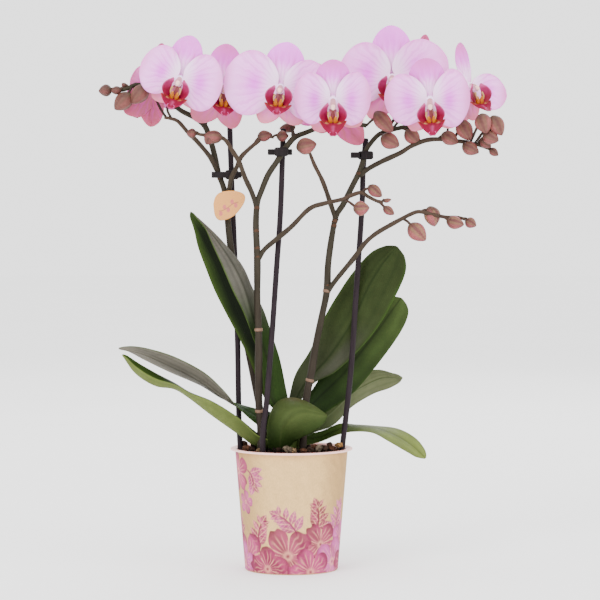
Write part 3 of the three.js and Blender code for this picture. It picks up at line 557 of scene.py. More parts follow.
def print_sprig(wall, degrees, height, way, length, bend, wash):
    """A curved twig with pairs of leaves and one more at its tip, from a place on the wall."""
    where, x, y = wall.near(degrees, height, length + 16)
    step = length / SPRIG_JOINTS
    for k in range(SPRIG_JOINTS):
        dx, dy = step * math.cos(way), step * math.sin(way)
        share = np.clip((x * dx + y * dy) / step ** 2, 0, 1)
        apart = np.hypot(x - share * dx, y - share * dy)
        wall.lay(where, 0.9 * (1 - smooth(0.45, 0.85, apart)), wash[1])
        x, y = x - dx, y - dy
        for side in (-1, 1):
            print_leaf(wall, where, x, y, 12.5 - 1.6 * k, 6.2 - 0.8 * k, way + side * 0.9, wash)
        way += bend
    print_leaf(wall, where, x, y, 8.5, 5.4, way, wash)


def make_pot_wall():
    """The printed wall, sprigs under blossoms and the upper blossoms under the lower ones."""
    wall = PrintedWall()
    for k, sprig in enumerate(SPRIGS):
        print_sprig(wall, *sprig, WASHES[k % 4])
    for k, place in enumerate(sorted(BLOSSOMS, key=lambda b: -b[1])):
        print_blossom(wall, *place, wall.random.uniform(0, 6.3), WASHES[(k * 3 + 1) % 4])
    rows, columns = PRINT_STEPS
    points = turned(wall.radius, wall.angle, wall.z)
    foot = [points[0] * [scale, scale, 0] for scale in (0.2, 0.985)]
    foot_tints = np.broadcast_to(BUFF * 0.9, (2, columns, 3))
    shape = Shape()
    shape.add(np.concatenate([foot, points]), ring_faces(rows + 2, columns, top=False),
              np.concatenate([foot_tints, wall.picture]))
    shape.build("pot_wall", [PRINT], ["pot"])


def make_pot_rim():
    """The rolled lip, and below it the wall's inner face and the floor, in one closed profile."""
    neck, lip, top, foot = (POT[k] for k in ("neck_radius", "lip_radius", "height", "neck_height"))
    inside, skin, floor, under = (POT[k] for k in ("inside", "skin", "floor", "underside"))
    middle = 60  # a height half way up the wall
    rolled = [(neck - 0.1, foot - 0.3), (neck + 0.9, foot), (lip - 0.7, foot + 0.1),
              (lip - 0.15, foot + 0.25), (lip, foot + 0.5), (lip, top - 0.5),
              (lip - 0.15, top - 0.2), (lip - 0.5, top - 0.04), (lip - 1.2, top),
              (neck + 0.4, top), (neck - 0.3, top - 0.2), (neck - 0.9, top - 0.6)]
    lining = [(neck - 1.3, top - 1.4), (neck - 1.45, top - 4.2),
              (pot_radius(middle) - inside, middle), (pot_radius(floor) - inside, floor),
              (4, floor), (4, under), (pot_radius(under) - skin, under),
              (pot_radius(middle) - skin, middle)]
    profile = np.array(rolled + lining)
    # Below the rolled lip the profile is painted dark, as shade.
    tints = np.array([RIM_PALE] * 12 + [blend(RIM_PALE, RIM_INSIDE_SHADE, 0.5)] + [RIM_INSIDE_SHADE] * 7)
    sides = 160
    grid = turned(profile[:, :1], ring_angles(sides), profile[:, 1:])
    last = (len(profile) - 1) * sides
    faces = grid_faces(len(profile), sides, wrap=True)
    faces += [(last + j, last + (j + 1) % sides, (j + 1) % sides, j) for j in range(sides)]
    shape = Shape()
    shape.add(grid, faces, np.broadcast_to(tints[:, None], grid.shape))
    shape.build("pot_rim", [RIM])


# ---- bark ----
BARK_TINTS = [lin(0.081, 0.055, 0.041), lin(0.148, 0.092, 0.068), lin(0.105, 0.073, 0.061),
              lin(0.24, 0.151, 0.105), lin(0.187, 0.134, 0.104), lin(0.055, 0.042, 0.035)]
PALE_CHIPS = [lin(0.41, 0.33, 0.24), lin(0.33, 0.29, 0.24), lin(0.50, 0.37, 0.22)]
BARK_EDGE, BARK_TOP, BARK_FALL = 39.4, 90.0, 4.6
BED_STEPS = (46, 150)  # rings and points round each
BED_SKIRT = (80, 45, 3)  # heights of the rings that go down the wall
CHIP_COUNT = 520
CHIP_STEPS = (7, 10)
LIP_SHADOW = -19  # chips nearer the front lie in the lip's shadow
# What stands in the bark, which loose chips keep clear of: x, y, radius.
STEM_FEET = [(-19, 13, 5), (-22, -13, 5), (8, -7, 5), (-38, 2, 4), (-21, -26, 4), (37.5, -3, 4),
             (-5, 0, 12)]
# Chips that stand out at the front: place, size, colour.
CHOSEN_CHIPS = [
    ((-3, -27, 91.6), (8, 4.5, 4), PALE_CHIPS[1]), ((1.5, -26, 90.6), (5, 3.5, 3), PALE_CHIPS[0]),
    ((-33, -15, 91.2), (7, 4.5, 3.5), BARK_TINTS[3]), ((-27, -8, 93.2), (7, 5, 4), BARK_TINTS[2]),
    ((-35, 5, 92.0), (7, 4, 4), BARK_TINTS[3]), ((-29, -17, 90.4), (5, 3, 3), BARK_TINTS[1]),
    ((9, -26, 90.6), (6, 3.5, 3), BARK_TINTS[3]), ((14, -24, 91.0), (6, 4, 3.4), BARK_TINTS[4]),
    ((20, -22, 91.8), (5, 4, 4.5), PALE_CHIPS[1]), ((25, -19, 91.2), (6, 4, 3.4), BARK_TINTS[4]),
    ((30, -16, 91.2), (6, 4, 3.6), BARK_TINTS[3]), ((35, -9, 93.0), (8, 3.6, 3), PALE_CHIPS[2]),
    ((-24, -21, 90.3), (4, 3, 2.6), PALE_CHIPS[0]), ((28, -13, 93.4), (6, 4, 3), BARK_TINTS[1]),
    ((17, -18, 92.6), (5, 4, 3), BARK_TINTS[3]), ((-9, -24, 90.8), (5, 3.4, 3), BARK_TINTS[1]),
]


def bark_height(r):
    return BARK_TOP - BARK_FALL * np.clip(np.asarray(r) / BARK_EDGE, 0, 1) ** 2


def make_bark_bed(rng):
    """The body of the bark: an uneven top, and a side that goes down the wall to the floor."""
    rings, columns = BED_STEPS
    angle = ring_angles(columns)
    r, a = np.meshgrid(BARK_EDGE * np.linspace(0.02, 1, rings) ** 0.8, angle, indexing="ij")
    lumps = sum(np.sin(k * a * (3 + k) + 0.35 * k * r + phase)
                for k, phase in enumerate(rng.uniform(0, 6.3, 4), start=1))
    z = bark_height(r) - 1.0 + 0.5 * lumps + rng.uniform(-0.5, 0.5, r.shape)
    z[-1] = bark_height(BARK_EDGE) - 1.4
    skirt = [turned(pot_radius(height) - 1.7, angle, height) for height in BED_SKIRT]
    grid = np.concatenate([turned(r, a, z), skirt])
    # The bed is darkened towards the front: a painted shadow of the pot's lip.
    tints = paint(BARK_TINTS[5], (BARK_TINTS[1], rng.uniform(0, 0.6, grid.shape[:2])),
                  (BARK_TINTS[5] * 0.5, smooth(-14, -20, grid[..., 1])))
    shape = Shape()
    shape.add(grid, [face[::-1] for face in ring_faces(len(grid), columns)], tints)
    shape.build("bark_bed", [BARK], ["bark"])


def add_chip(shape, rng, place, size, tint):
    """A broken flake of bark: a rounded box of points with its surface pulled about."""
    rings, sides = CHIP_STEPS
    u, v = np.meshgrid(np.linspace(-1, 1, rings), ring_angles(sides), indexing="ij")
    ring = (1 - np.abs(u) ** 4) ** 0.5 * 0.9 + 0.1
    ring[0], ring[-1] = 0.02, 0.02
    square = 1 / np.maximum(np.abs(np.cos(v)), np.abs(np.sin(v))) ** 0.75
    rough = 1 + rng.uniform(-0.28, 0.28, u.shape)
    reach = ring * square * rough
    grid = 0.5 * np.array(size) * xyz(u, reach * np.cos(v), reach * np.sin(v))
    grid[..., 2] += 0.12 * size[0] * (u ** 2) * rng.uniform(-0.6, 1)
    tilt = (Matrix.Rotation(rng.uniform(0, 2 * math.pi), 3, "Z")
            @ Matrix.Rotation(rng.uniform(-0.5, 0.5), 3, "Y")
            @ Matrix.Rotation(rng.uniform(-0.6, 0.6), 3, "X"))
    shape.add(grid @ np.array(tilt).T + np.array(place), ring_faces(rings, sides),
              blend(tint * 0.4, tint * 1.5, rng.uniform(0, 1, u.shape)))


def make_bark_chips(rng):
    """Loose chips in a spiral from the middle to the edge, clear of what stands in the bark."""
    shape = Shape()
    golden = math.pi * (3 - math.sqrt(5))
    for i in range(CHIP_COUNT):
        size = rng.uniform([3.2, 2.0, 1.5], [7, 4.4, 3.0]) * (1.0 if i % 3 else 0.5)
        distance = min(math.sqrt((i + 0.5) / CHIP_COUNT) * BARK_EDGE, BARK_EDGE - 0.62 * size[0])
        x, y = distance * math.cos(golden * i), distance * math.sin(golden * i)
        if any(math.hypot(x - fx, y - fy) < clear + 0.4 * size[0] for fx, fy, clear in STEM_FEET):
            continue
        height = bark_height(distance) + rng.uniform(-0.8, 1.2)
        tint = BARK_TINTS[int(rng.integers(0, 6))]
        if rng.random() < 0.10:
            tint = PALE_CHIPS[int(rng.integers(0, 3))]
        # Painted shadow: chips here are made darker, as they lie in the lip's shadow.
        if y < LIP_SHADOW:
            tint, size = BARK_TINTS[5] * 0.7, size * 0.6
        add_chip(shape, rng, (x, y, height), size, tint)
    for chosen in CHOSEN_CHIPS:
        add_chip(shape, rng, *chosen)
    shape.build("bark_chips", [BARK], rounded=False)


def make_bark():
    rng = np.random.default_rng(5)
    make_bark_bed(rng)
    make_bark_chips(rng)


# ---- crown and leaves ----
CROWN = {"at": (-5, 0), "foot": 60, "top": 126.5, "foot_radius": 10.5, "top_radius": 7,
         "rings": 26, "sides": 28}
CROWN_TIP = [0.9, 0.7, 0.35]  # how its last rings draw in
SHEATH_FOOT = 84
# Which way a sheath faces, in radians, the height of its top, and its radius.
SHEATHS = [(3.65, 100, 12.0), (0.5, 106, 11.2), (4.2, 113, 10.2), (1.05, 119, 9.4)]


def make_crown():
    """The short stem, and the old leaf bases that sheath it."""
    shape = Shape()
    x, y = CROWN["at"]
    share = np.linspace(0, 1, CROWN["rings"])
    height = CROWN["foot"] + (CROWN["top"] - CROWN["foot"]) * share
    radii = CROWN["foot_radius"] + (CROWN["top_radius"] - CROWN["foot_radius"]) * share
    radii[-3:] *= CROWN_TIP
    angle = ring_angles(CROWN["sides"])
    relief = 1 + 0.05 * np.cos(2 * angle + 4 * share[:, None]) + 0.02 * np.cos(9 * angle)
    tints = blend(lin(0.29, 0.31, 0.163), lin(0.137, 0.22, 0.071), share)
    add_tube(shape, [(x, y, z) for z in height], radii, tints, CROWN["sides"], relief=relief)
    u, v = spread(12, 22)
    green = blend(lin(0.27, 0.29, 0.143), lin(0.171, 0.26, 0.088), u)
    for way, top, radius in SHEATHS:
        sheath = turned(radius - 0.9 + 0.8 * u + 0.15 * np.cos(8 * v),
                        way + 1.9 * v * (1 - 0.25 * u),
                        SHEATH_FOOT + (top - SHEATH_FOOT) * u * (1 - 0.30 * v ** 2))
        add_sheet(shape, sheath + [x, y, 0], 0.9 - 0.4 * np.abs(v), green, green * 0.9)
    shape.build("crown_sheaths", [LEAF], ["crown"])


# A leaf's lines run from its base to its tip, side by side across the blade. upper is 1 where the
# sheet's front is the upper face and -1 where its back is. rib is where the midrib runs, from -1
# to 1 across the blade.
LEAVES = {
    "leaf_tall_left": {"upper": 1, "rib": -0.42, "look": "taupe", "lines": [
        [(-12, -6, 117), (-20, -8, 131), (-22, -6, 151), (-29, -14, 175), (-35, -25, 192),
         (-43, -28, 208), (-51, -25, 226), (-58, -18, 241), (-64, -10, 254), (-72.5, -5, 263)],
        [(-9, -6, 116), (-17, -6, 129), (-18, -5, 152), (-26, -10, 174), (-31, -15, 191),
         (-36, -16, 208), (-44, -14, 225), (-53, -11, 239), (-62, -7, 251), (-73, -4.5, 264)],
        [(-2, -1, 117), (-4, 0, 130), (-9, -2, 155), (-15, -4, 174), (-21, -5, 192),
         (-29, -5, 208), (-36, -5, 224), (-46, -4, 237), (-58, -4, 250), (-74, -4, 264.5)],
        [(-6, 4, 116), (-11, 6, 127), (-19, 1, 154), (-29, -1, 174), (-37, -1, 191),
         (-43, -1, 207), (-50, -1, 225), (-58, -1, 239), (-66, -3, 252), (-75, -3.7, 265)],
        [(-12, 4, 117), (-21, 6, 128), (-31, 1, 155), (-40, -1, 174), (-49, 0, 191),
         (-57, 2, 207), (-64, 2, 225), (-69, 0, 239), (-72, -2, 252), (-76.5, -3, 265)]]},
    "leaf_upper_left": {"upper": -1, "rib": 0.05, "look": "grey", "lines": [
        [(-8, -6, 98), (-15, -10, 103), (-26, -12, 109), (-39, -14, 121), (-50, -14, 134),
         (-64, -18, 147), (-85, -18, 158), (-104, -15, 164), (-117, -10, 166), (-127, -6, 165)],
        [(-7, -2, 104), (-15, -4, 111), (-26, -6, 114), (-40, -9, 122), (-51, -9, 129),
         (-68, -5, 141), (-90, -3, 152), (-108, -4, 160), (-119, -4, 163), (-127.5, -4, 164)],
        [(-8, 2, 110), (-15, 2, 116), (-26, 0, 119), (-40, -3, 123), (-52, -4, 127),
         (-68, 6, 136), (-91, 10, 146), (-109, 8, 155), (-120, 3, 161), (-127, -2, 163)]]},
    "leaf_lower_left": {"upper": -1, "rib": 0.0, "look": "lime", "lines": [
        [(-9, -8, 92), (-16, -14, 97), (-25, -17, 101), (-39, -20, 114), (-58, -22, 126),
         (-74, -22, 132), (-85, -22, 138), (-100, -21, 143), (-113, -19, 151), (-123, -15, 160)],
        [(-8, -4, 88), (-16, -6, 90), (-25, -9, 92), (-40, -11, 103), (-58, -13, 116),
         (-75, -13, 129), (-86, -13, 135.5), (-100, -14, 138), (-114, -15, 147),
         (-124, -13.5, 160)],
        [(-9, 0, 93), (-15, 0, 98), (-25, -1, 101), (-40, -2, 113), (-58, 0, 124), (-75, 2, 131),
         (-86, 2, 138), (-101, 0, 146), (-114, -6, 154), (-124, -12, 161.5)]]},
    "leaf_tall_right": {"upper": 1, "rib": 0.0, "look": "olive", "lines": [
        [(-2, 4, 126), (3, 8, 144), (14, 10, 162), (25, 12, 187), (37, 13, 207), (47, 13, 221),
         (60, 12, 235), (74, 9, 241)],
        [(2, 2, 124), (11, 3, 139), (26, 4, 155), (40, 5, 175), (49, 6, 191), (56, 7, 207),
         (66, 7, 224), (78, 7, 239)],
        [(5, 5, 122), (16, 7, 137), (33, 9, 146), (53, 11, 165), (67, 13, 183), (77.5, 13, 202),
         (85, 12, 221), (83, 9, 236)]]},
    "leaf_rear_right": {"upper": -1, "rib": 0.0, "look": "deep", "lines": [
        [(-1, 4, 108), (5, 9, 117), (18, 15, 136), (31, 19, 156), (43, 21, 172), (55, 23, 187),
         (67, 24, 198), (77, 25, 202)],
        [(0, 3, 105), (8, 7, 114), (22, 14, 128), (37, 18, 142), (52, 20, 160), (66, 22, 178),
         (76, 25, 192), (82, 26, 200)],
        [(1, 3, 102), (12, 10, 107), (29, 18, 117), (46, 22, 129), (65, 25, 151), (81, 27, 173),
         (87.5, 28, 188), (85, 28, 198)]]},
    "leaf_level_right": {"upper": 1, "rib": 0.0, "look": "sage", "lines": [
        [(0, 3, 99), (9, 9, 106), (24, 20, 119), (39, 26, 131), (53, 29, 143), (65, 30, 146),
         (76, 31, 143), (82, 34, 141)],
        [(0, 3, 95), (11, 10, 102), (27, 23, 113), (44, 30, 128), (58, 35, 136), (69, 37, 140),
         (78, 38, 140), (83.5, 37, 139)],
        [(1, 4, 92), (14, 12, 99), (31, 29, 104), (45, 39, 117), (61, 46, 126), (73, 47, 130),
         (80, 44, 134), (83, 41, 137)]]},
    "leaf_low_right": {"upper": 1, "rib": 0.0, "look": "pale", "lines": [
        [(0, -1, 88), (8, 2, 91), (21, 4, 94), (34, 5, 99), (45, 5, 101.5), (60, 5, 101),
         (73, 6, 94), (85, 8, 86.5), (95, 15, 80)],
        [(-1, 2, 91), (8, 7, 95), (22, 11, 97), (36, 14, 102), (46, 16, 104), (61, 17, 103),
         (77, 18, 97.5), (90, 19, 89.5), (100, 20, 80)],
        [(0, 4, 94), (9, 11, 98), (23, 17, 101), (36, 22, 106), (48, 26, 105), (62, 28, 103.5),
         (80, 29, 101), (94, 28, 93.5), (102.5, 24, 82.5)]]},
    "leaf_front": {"upper": 1, "rib": 0.1, "look": "young", "lines": [
        [(-11, -5, 80), (-16, -10, 88), (-18, -14, 99), (-17, -15, 112), (-13, -12, 122),
         (-6, -10, 127), (4, -10, 127.5), (13, -13, 124.5), (21, -19, 120.5)],
        [(-6, -6, 80), (-9, -12, 88), (-9, -20, 99), (-7, -25, 110), (-2, -26, 117),
         (4, -25, 120), (10, -24, 120), (18, -24, 118), (26, -23, 116)],
        [(-1, -5, 81), (-2, -11, 89), (1, -15, 95), (5, -19, 98), (10, -22, 101), (14, -24, 103),
         (18, -26, 106), (22, -27, 109), (26, -25, 113)]]},
}
# For each look of leaf: upper face at the base and the tip, under face at the base and the tip,
# rib on the under face, bright margin.
LEAF_TINTS = {
    # The taupe under tip and the pale upper tip are partly the leaves' own colour, partly painted
    # sheen.
    "taupe": [(0.088, 0.127, 0.044), (0.145, 0.2, 0.073), (0.127, 0.193, 0.071),
              (0.32, 0.31, 0.28), (0.114, 0.125, 0.079), (0.21, 0.28, 0.099)],
    "grey": [(0.115, 0.188, 0.061), (0.149, 0.22, 0.079), (0.168, 0.22, 0.09), (0.42, 0.4, 0.36),
             (0.23, 0.25, 0.178), (0.24, 0.3, 0.132)],
    "lime": [(0.116, 0.17, 0.054), (0.167, 0.23, 0.086), (0.197, 0.24, 0.112), (0.36, 0.4, 0.21),
             (0.27, 0.31, 0.169), (0.36, 0.41, 0.2)],
    "olive": [(0.115, 0.182, 0.06), (0.144, 0.21, 0.078), (0.177, 0.196, 0.127),
              (0.158, 0.192, 0.094), (0.1, 0.139, 0.057), (0.194, 0.28, 0.098)],
    "deep": [(0.081, 0.134, 0.039), (0.2, 0.25, 0.118), (0.199, 0.22, 0.15), (0.27, 0.29, 0.193),
             (0.152, 0.198, 0.094), (0.187, 0.28, 0.093)],
    "sage": [(0.111, 0.164, 0.058), (0.2, 0.25, 0.123), (0.175, 0.21, 0.105), (0.34, 0.36, 0.25),
             (0.21, 0.25, 0.134), (0.28, 0.32, 0.191)],
    "pale": [(0.128, 0.182, 0.061), (0.37, 0.41, 0.195), (0.175, 0.22, 0.111), (0.34, 0.37, 0.23),
             (0.24, 0.28, 0.144), (0.37, 0.41, 0.22)],
    "young": [(0.139, 0.193, 0.067), (0.191, 0.24, 0.101), (0.122, 0.176, 0.065),
              (0.22, 0.26, 0.131), (0.192, 0.23, 0.112), (0.24, 0.28, 0.144)],
}
# The fold colour is painted shade for the inside of the tall left leaf's fold.
FOLD_SHADE, SCUFF_BROWN = lin(0.034, 0.054, 0.022), lin(0.26, 0.20, 0.139)
# The grey of the tall right leaf's pale patch is a painted sheen.
SHEEN_GREY = lin(0.26, 0.26, 0.22)
# How far along a leaf its under face turns from its base colour to its tip colour.
LEAF_TURN = {"leaf_tall_left": (0.32, 0.60), "leaf_upper_left": (0.28, 0.42),
             "leaf_lower_left": (0.12, 0.50), "leaf_level_right": (0.2, 0.55)}
LEAF_STEPS = (76, 33)


def leaf_tints(name, u, v, rib):
    """The colours of a leaf's upper and under face, with what only one leaf has at the end."""
    upper_base, upper_tip, under_base, under_tip, keel, margin = (
        lin(*c) for c in LEAF_TINTS[LEAVES[name]["look"]])
    edge = smooth(0.90, 1.0, np.abs(v))
    from_rib = np.abs(v - rib)
    upper = blend(upper_base, upper_tip, smooth(0.25, 0.95, u))
    # Painted shade: the groove along the rib is darkened.
    upper = shade(upper, 0.45, 0.9 * hump(v, rib, 0.07))
    # Painted sheen: a band on each half of the upper face is lightened.
    upper = shade(upper, 1.5, 0.5 * hump(from_rib, 0.5, 0.22))
    upper = blend(upper, margin, 0.55 * edge)
    under = paint(under_base, (under_tip, smooth(*LEAF_TURN.get(name, (0.22, 0.5)), u)),
                  (keel, 0.85 * hump(v, rib, 0.04) * (1 - smooth(0.92, 1, u))))
    under = shade(under, 1.22, 0.6 * hump(from_rib, 0.14, 0.06))
    stripes = np.abs(np.sin(7.5 * v + 0.4)) ** 6 * smooth(0.3, 0.5, u)
    under = paint(under, (keel, 0.3 * stripes), (margin, 0.85 * edge))
    if name == "leaf_tall_left":
        # Painted shade: the inside of the leaf's fold is darkened.
        fold = smooth(0.0, 0.2, v) * (1 - smooth(0.68, 0.86, v)) * smooth(0.12, 0.3, u)
        upper = paint(upper, (FOLD_SHADE, 0.92 * fold * (1 - smooth(0.85, 1.0, u))),
                      (margin, 0.45 * smooth(0.84, 0.97, v)))
    if name == "leaf_front":
        scuff = hump(u, 0.72, 0.10) * hump(v, -0.9, 0.30)
        under = paint(under, (SCUFF_BROWN, 0.55 * scuff), (under_base, 0.8 * smooth(0.2, 1.0, v)))
    if name == "leaf_tall_right":
        # Painted sheen: a pale grey patch low on the under face.
        pale = hump(u, 0.30, 0.14) * smooth(0.05, 0.45, v) * (1 - smooth(0.7, 1.0, v))
        under = blend(under, SHEEN_GREY, 0.75 * pale)
    return upper, under


def make_leaf(name):
    """A blade through the leaf's lines: grooved at the rib, waved, thin at its edges and tip."""
    leaf = LEAVES[name]
    rows, columns = LEAF_STEPS
    share = np.linspace(0, 1, rows)
    share = share + 0.12 * np.sin(math.pi * share) * share ** 3
    sections = np.stack([spline(line, share) for line in leaf["lines"]], axis=1)
    round_tip = np.sqrt(np.maximum(0.04, 1 - np.clip((share - 0.95) / 0.05, 0, 1) ** 2.2))
    across = np.linspace(0, 1, columns) - 0.5
    grid = np.stack([spline(section, 0.5 + across * width)
                     for section, width in zip(sections, round_tip)])
    u, v = np.meshgrid(share, np.linspace(-1, 1, columns), indexing="ij")
    rib = leaf["rib"]
    groove = -0.35 * leaf["upper"] * hump(v, rib, 0.10) * (1 - smooth(0.85, 1, u))
    wave = 0.35 * np.sin(9 * u + 1.3 * v) * v ** 2 * smooth(0.2, 0.6, u) * (1 - smooth(0.9, 1, u))
    grid = grid + sheet_normal(grid) * (groove + wave)[..., None]
    thick = 0.45 + 1.1 * (1 - np.abs(v) ** 3) * (1 - 0.5 * u) + 0.5 * hump(v, rib, 0.07)
    upper, under = leaf_tints(name, u, v, rib)
    front, back = (upper, under) if leaf["upper"] > 0 else (under, upper)
    shape = Shape()
    add_sheet(shape, grid, thick, front, back, upper=leaf["upper"])
    shape.build(f"{name}_blade", [LEAF], [name])


# ---- flower spikes ----
STEM_SIZE = {"main": 2.7, "tip": 1.6, "branch": 1.9, "twig": 1.22, "pedicel": 0.95}
OLIVE, BROWN, ROSE = lin(0.20, 0.189, 0.150), lin(0.174, 0.148, 0.130), lin(0.29, 0.21, 0.178)
RING_TINT, BRACT_TINT = lin(0.46, 0.36, 0.30), lin(0.27, 0.191, 0.145)
BUD_STEPS = (26, 30)
# A ring is how far up the main stem it sits, and its radius. A bud is where its pedicel leaves the
# stem, its base, its tip and its radius.
SPIKES = {
    "spike_left": {
        "main": [(-19, 14, 84), (-22, 13, 109), (-29, 8, 147), (-36, 3.6, 184), (-42, 3.2, 218),
                 (-46, 3.2, 247), (-48, 3.6, 270), (-50, 5, 282), (-54, 7, 293), (-57, 6, 307),
                 (-60, 5, 318), (-64, 5, 328), (-71, 2, 334), (-81, -3, 339), (-93, -6, 348),
                 (-104, -8, 355), (-113, -10, 358), (-120, -12, 355), (-125, -13, 354)],
        "branches": [
            [(-52, 7, 288), (-56, 5, 297), (-60, 1, 305), (-69, -2, 316), (-76, -5, 323),
             (-83, -8, 331), (-88, -9, 333), (-93, -8, 334)],
            [(-48, 5.5, 274), (-46, 1, 281), (-44, -3, 290), (-40, -4, 298), (-37, -5, 305),
             (-31, -6, 311), (-25, -8, 316), (-20, -9, 320), (-13, -10, 319.5)]],
        "rings": [], "bracts": [(-49, 4.6, 276), (-53, 7, 290)],
        "buds": [((-125, -13, 354), (-131, -14, 354), (-141, -14, 353), 4.6),
                 ((-121, -12, 355), (-124, -14, 354), (-132, -17, 353), 3.2),
                 ((-119, -12, 355.5), (-121, -12, 356), (-124, -12, 359), 2.0),
                 ((-116, -11, 357), (-117, -14, 351), (-129, -17, 339.5), 6.6),
                 ((-109, -9, 357.5), (-105, -13, 357), (-117, -18, 344), 6.4),
                 ((-28, -7, 313.5), (-25, -8, 319.5), (-14, -9, 321.5), 4.3),
                 ((-14, -10, 319.5), (-11, -10, 320), (-2, -9, 320.5), 4.3)]},
    "spike_middle": {
        "main": [(-22, -13, 84), (-23, -13, 108), (-24, -15, 127), (-24, -18, 153),
                 (-24, -18, 178), (-25, -17, 200), (-25, -15, 230), (-26, -13, 255),
                 (-25, -13, 271), (-22, -13, 280), (-17, -13, 292), (-11, -13, 301),
                 (-6, -13, 309), (2, -11, 319), (11, -8, 323), (21, -5, 327), (31, -3, 331),
                 (44, -4, 330), (55, -6, 328)],
        "branches": [
            [(-25, -13, 267), (-29, -15, 279), (-34, -17, 290), (-38, -19, 301), (-44, -20, 311),
             (-49, -21, 318), (-58, -21, 321), (-65, -21, 321), (-69, -21, 322)],
            [(-25, -15, 229), (-20, -15, 237), (-12, -18, 244), (0, -18, 254), (13, -19, 267),
             (24, -20, 271), (37, -21, 274), (44, -22, 277), (51, -22, 279), (56, -22, 276),
             (62, -22, 273), (67, -22, 272)]],
        "rings": [(0.116, 3.15), (0.318, 3.1)],
        "bracts": [(-25, -15, 231), (-18, -15.4, 238.5), (-3, -18, 252), (-25, -13, 268)],
        "buds": [((-67, -21, 321.5), (-69, -21, 322), (-76.5, -22, 322), 3.8),
                 ((-49, -21, 318), (-50, -21, 319), (-64, -23, 320), 5.0),
                 ((-57, -21, 321), (-58, -21, 321), (-62, -24, 314), 4.0),
                 ((1, -10, 318), (3, 3, 327), (-9, 6, 326), 3.8),
                 ((37, -21, 274), (45, -24, 267), (57, -25, 268), 5.6),
                 ((51, -22, 279), (56, -23, 284), (66, -24, 276), 4.4),
                 ((66, -22, 272), (67, -22, 272.5), (73, -22, 274), 1.7),
                 ((61, -22, 273), (67, -22, 268.5), (75, -23, 263), 3.3),
                 ((55, -6, 328), (61, -12, 338), (74, -17, 323), 6.2)]},
    "spike_right": {
        "main": [(8, -7, 84), (10, -6, 119), (12, -6, 133), (15, -6, 148), (18, -6, 167),
                 (22, -5, 186), (26, -4, 206), (27, -4, 226), (30, -4, 248), (33, -4, 262),
                 (38, -3, 270), (44, -2, 282), (50, -1, 294), (53, 0, 303), (55, 1, 310),
                 (59, 1, 316), (65, 2, 322), (74, 2, 325), (83, -2, 327), (87, -4, 327)],
        "branches": [
            [(33, -4, 258), (29, -6, 270), (23, -8, 287), (17, -10, 299), (13, -12, 309)],
            [(50, -1, 291), (56, -2, 296), (67, -4, 302), (80, -6, 308), (88, -8, 313),
             (98, -9, 317), (107, -10, 318), (117, -11, 317), (127, -11, 316), (136, -12, 314),
             (145, -12, 311)],
            [(26, -4, 205), (30, -6, 211), (37, -9, 220), (46, -12, 231), (54, -14, 242),
             (62, -16, 249), (72, -18, 255), (81, -19, 260), (89, -20, 264), (94, -20, 265),
             (103, -20, 263), (113, -20, 261), (121, -20, 261), (127, -20, 259.5)]],
        "rings": [(0.21, 3.15), (0.455, 3.0)],
        "bracts": [(28.5, -5, 209.5), (32, -4, 258), (51, -1, 292), (62, -16, 249)],
        "buds": [((13, -12, 308), (3.5, -13, 311.5), (18.5, -15, 314.5), 6.4),
                 ((65, 2, 322), (66, -6, 320), (79, -12, 313), 6.3),
                 ((81, -1, 326), (84, -5, 325), (94, -8, 314.5), 5.7),
                 ((107, -10, 318), (110, -12, 322), (122, -14, 315), 5.4),
                 ((119, -11, 317), (123, -12, 332), (131, -15, 317), 6.4),
                 ((131, -11, 315), (138, -23, 336.5), (142, -26, 322), 6.6),
                 ((134, -12, 314.5), (146, -21, 335), (153.5, -22, 320.5), 6.0),
                 ((136, -12, 314), (140, -18, 322), (151, -22, 316.5), 5.6),
                 ((136, -12, 314), (138, -13, 318), (146, -15, 312), 3.9),
                 ((126, -11, 316), (125, -14, 314), (137, -17, 308), 5.2),
                 ((143, -12, 311.5), (145, -12, 311), (151.5, -13, 306), 3.1),
                 ((81, -19, 260), (86, -20, 256), (98, -23, 244), 6.6),
                 ((94, -20, 265), (101, -16, 269), (105, -14, 254), 6.4),
                 ((106, -20, 262), (113, -22, 258.5), (126, -23, 255.5), 5.0),
                 ((126, -20, 260), (127, -20, 259), (135, -21, 254.5), 4.1)]},
}


def add_twig(shape, points, radius, end_radius, first, last, sides=12, pitch=3.0):
    """A stem along the points; its colour goes from first to last."""
    path = even_spline(points, pitch=pitch)
    share = np.linspace(0, 1, len(path))
    radii = radius + (end_radius - radius) * share ** 1.9
    radii = radii * (1 + 0.05 * np.sin(23 * share + radius) + 0.03 * np.sin(57 * share))
    add_tube(shape, path, radii, blend(first, last, share), sides)


def add_pedicel(shape, points, widening, pitch):
    radius = STEM_SIZE["pedicel"]
    add_twig(shape, points, radius, radius * widening, BROWN, ROSE, sides=10, pitch=pitch)


def way_at(fine, i, step):
    """The direction of a fine curve at point i, seen over step points each way."""
    return unit(fine[min(FINE - 1, i + step)] - fine[max(0, i - step)])


def add_ring(shape, points, place, radius):
    """The pale joint of a spike: a ridge with a sheath rim above it."""
    fine = even_spline(points, FINE)
    i = int(place * (FINE - 1))
    steps = np.array([-1.0, -0.8, -0.35, 0.0, 0.35, 0.8, 1.0]) * 1.3
    radii = radius * np.array([0.80, 0.93, 1.0, 0.96, 1.02, 0.93, 0.80])
    tints = blend(RING_TINT, lin(0.25, 0.197, 0.161), [0.8, 0.5, 0.1, 0.3, 0, 0.4, 0.8])
    add_tube(shape, fine[i] + steps[:, None] * way_at(fine, i, 2), radii, tints, 16)


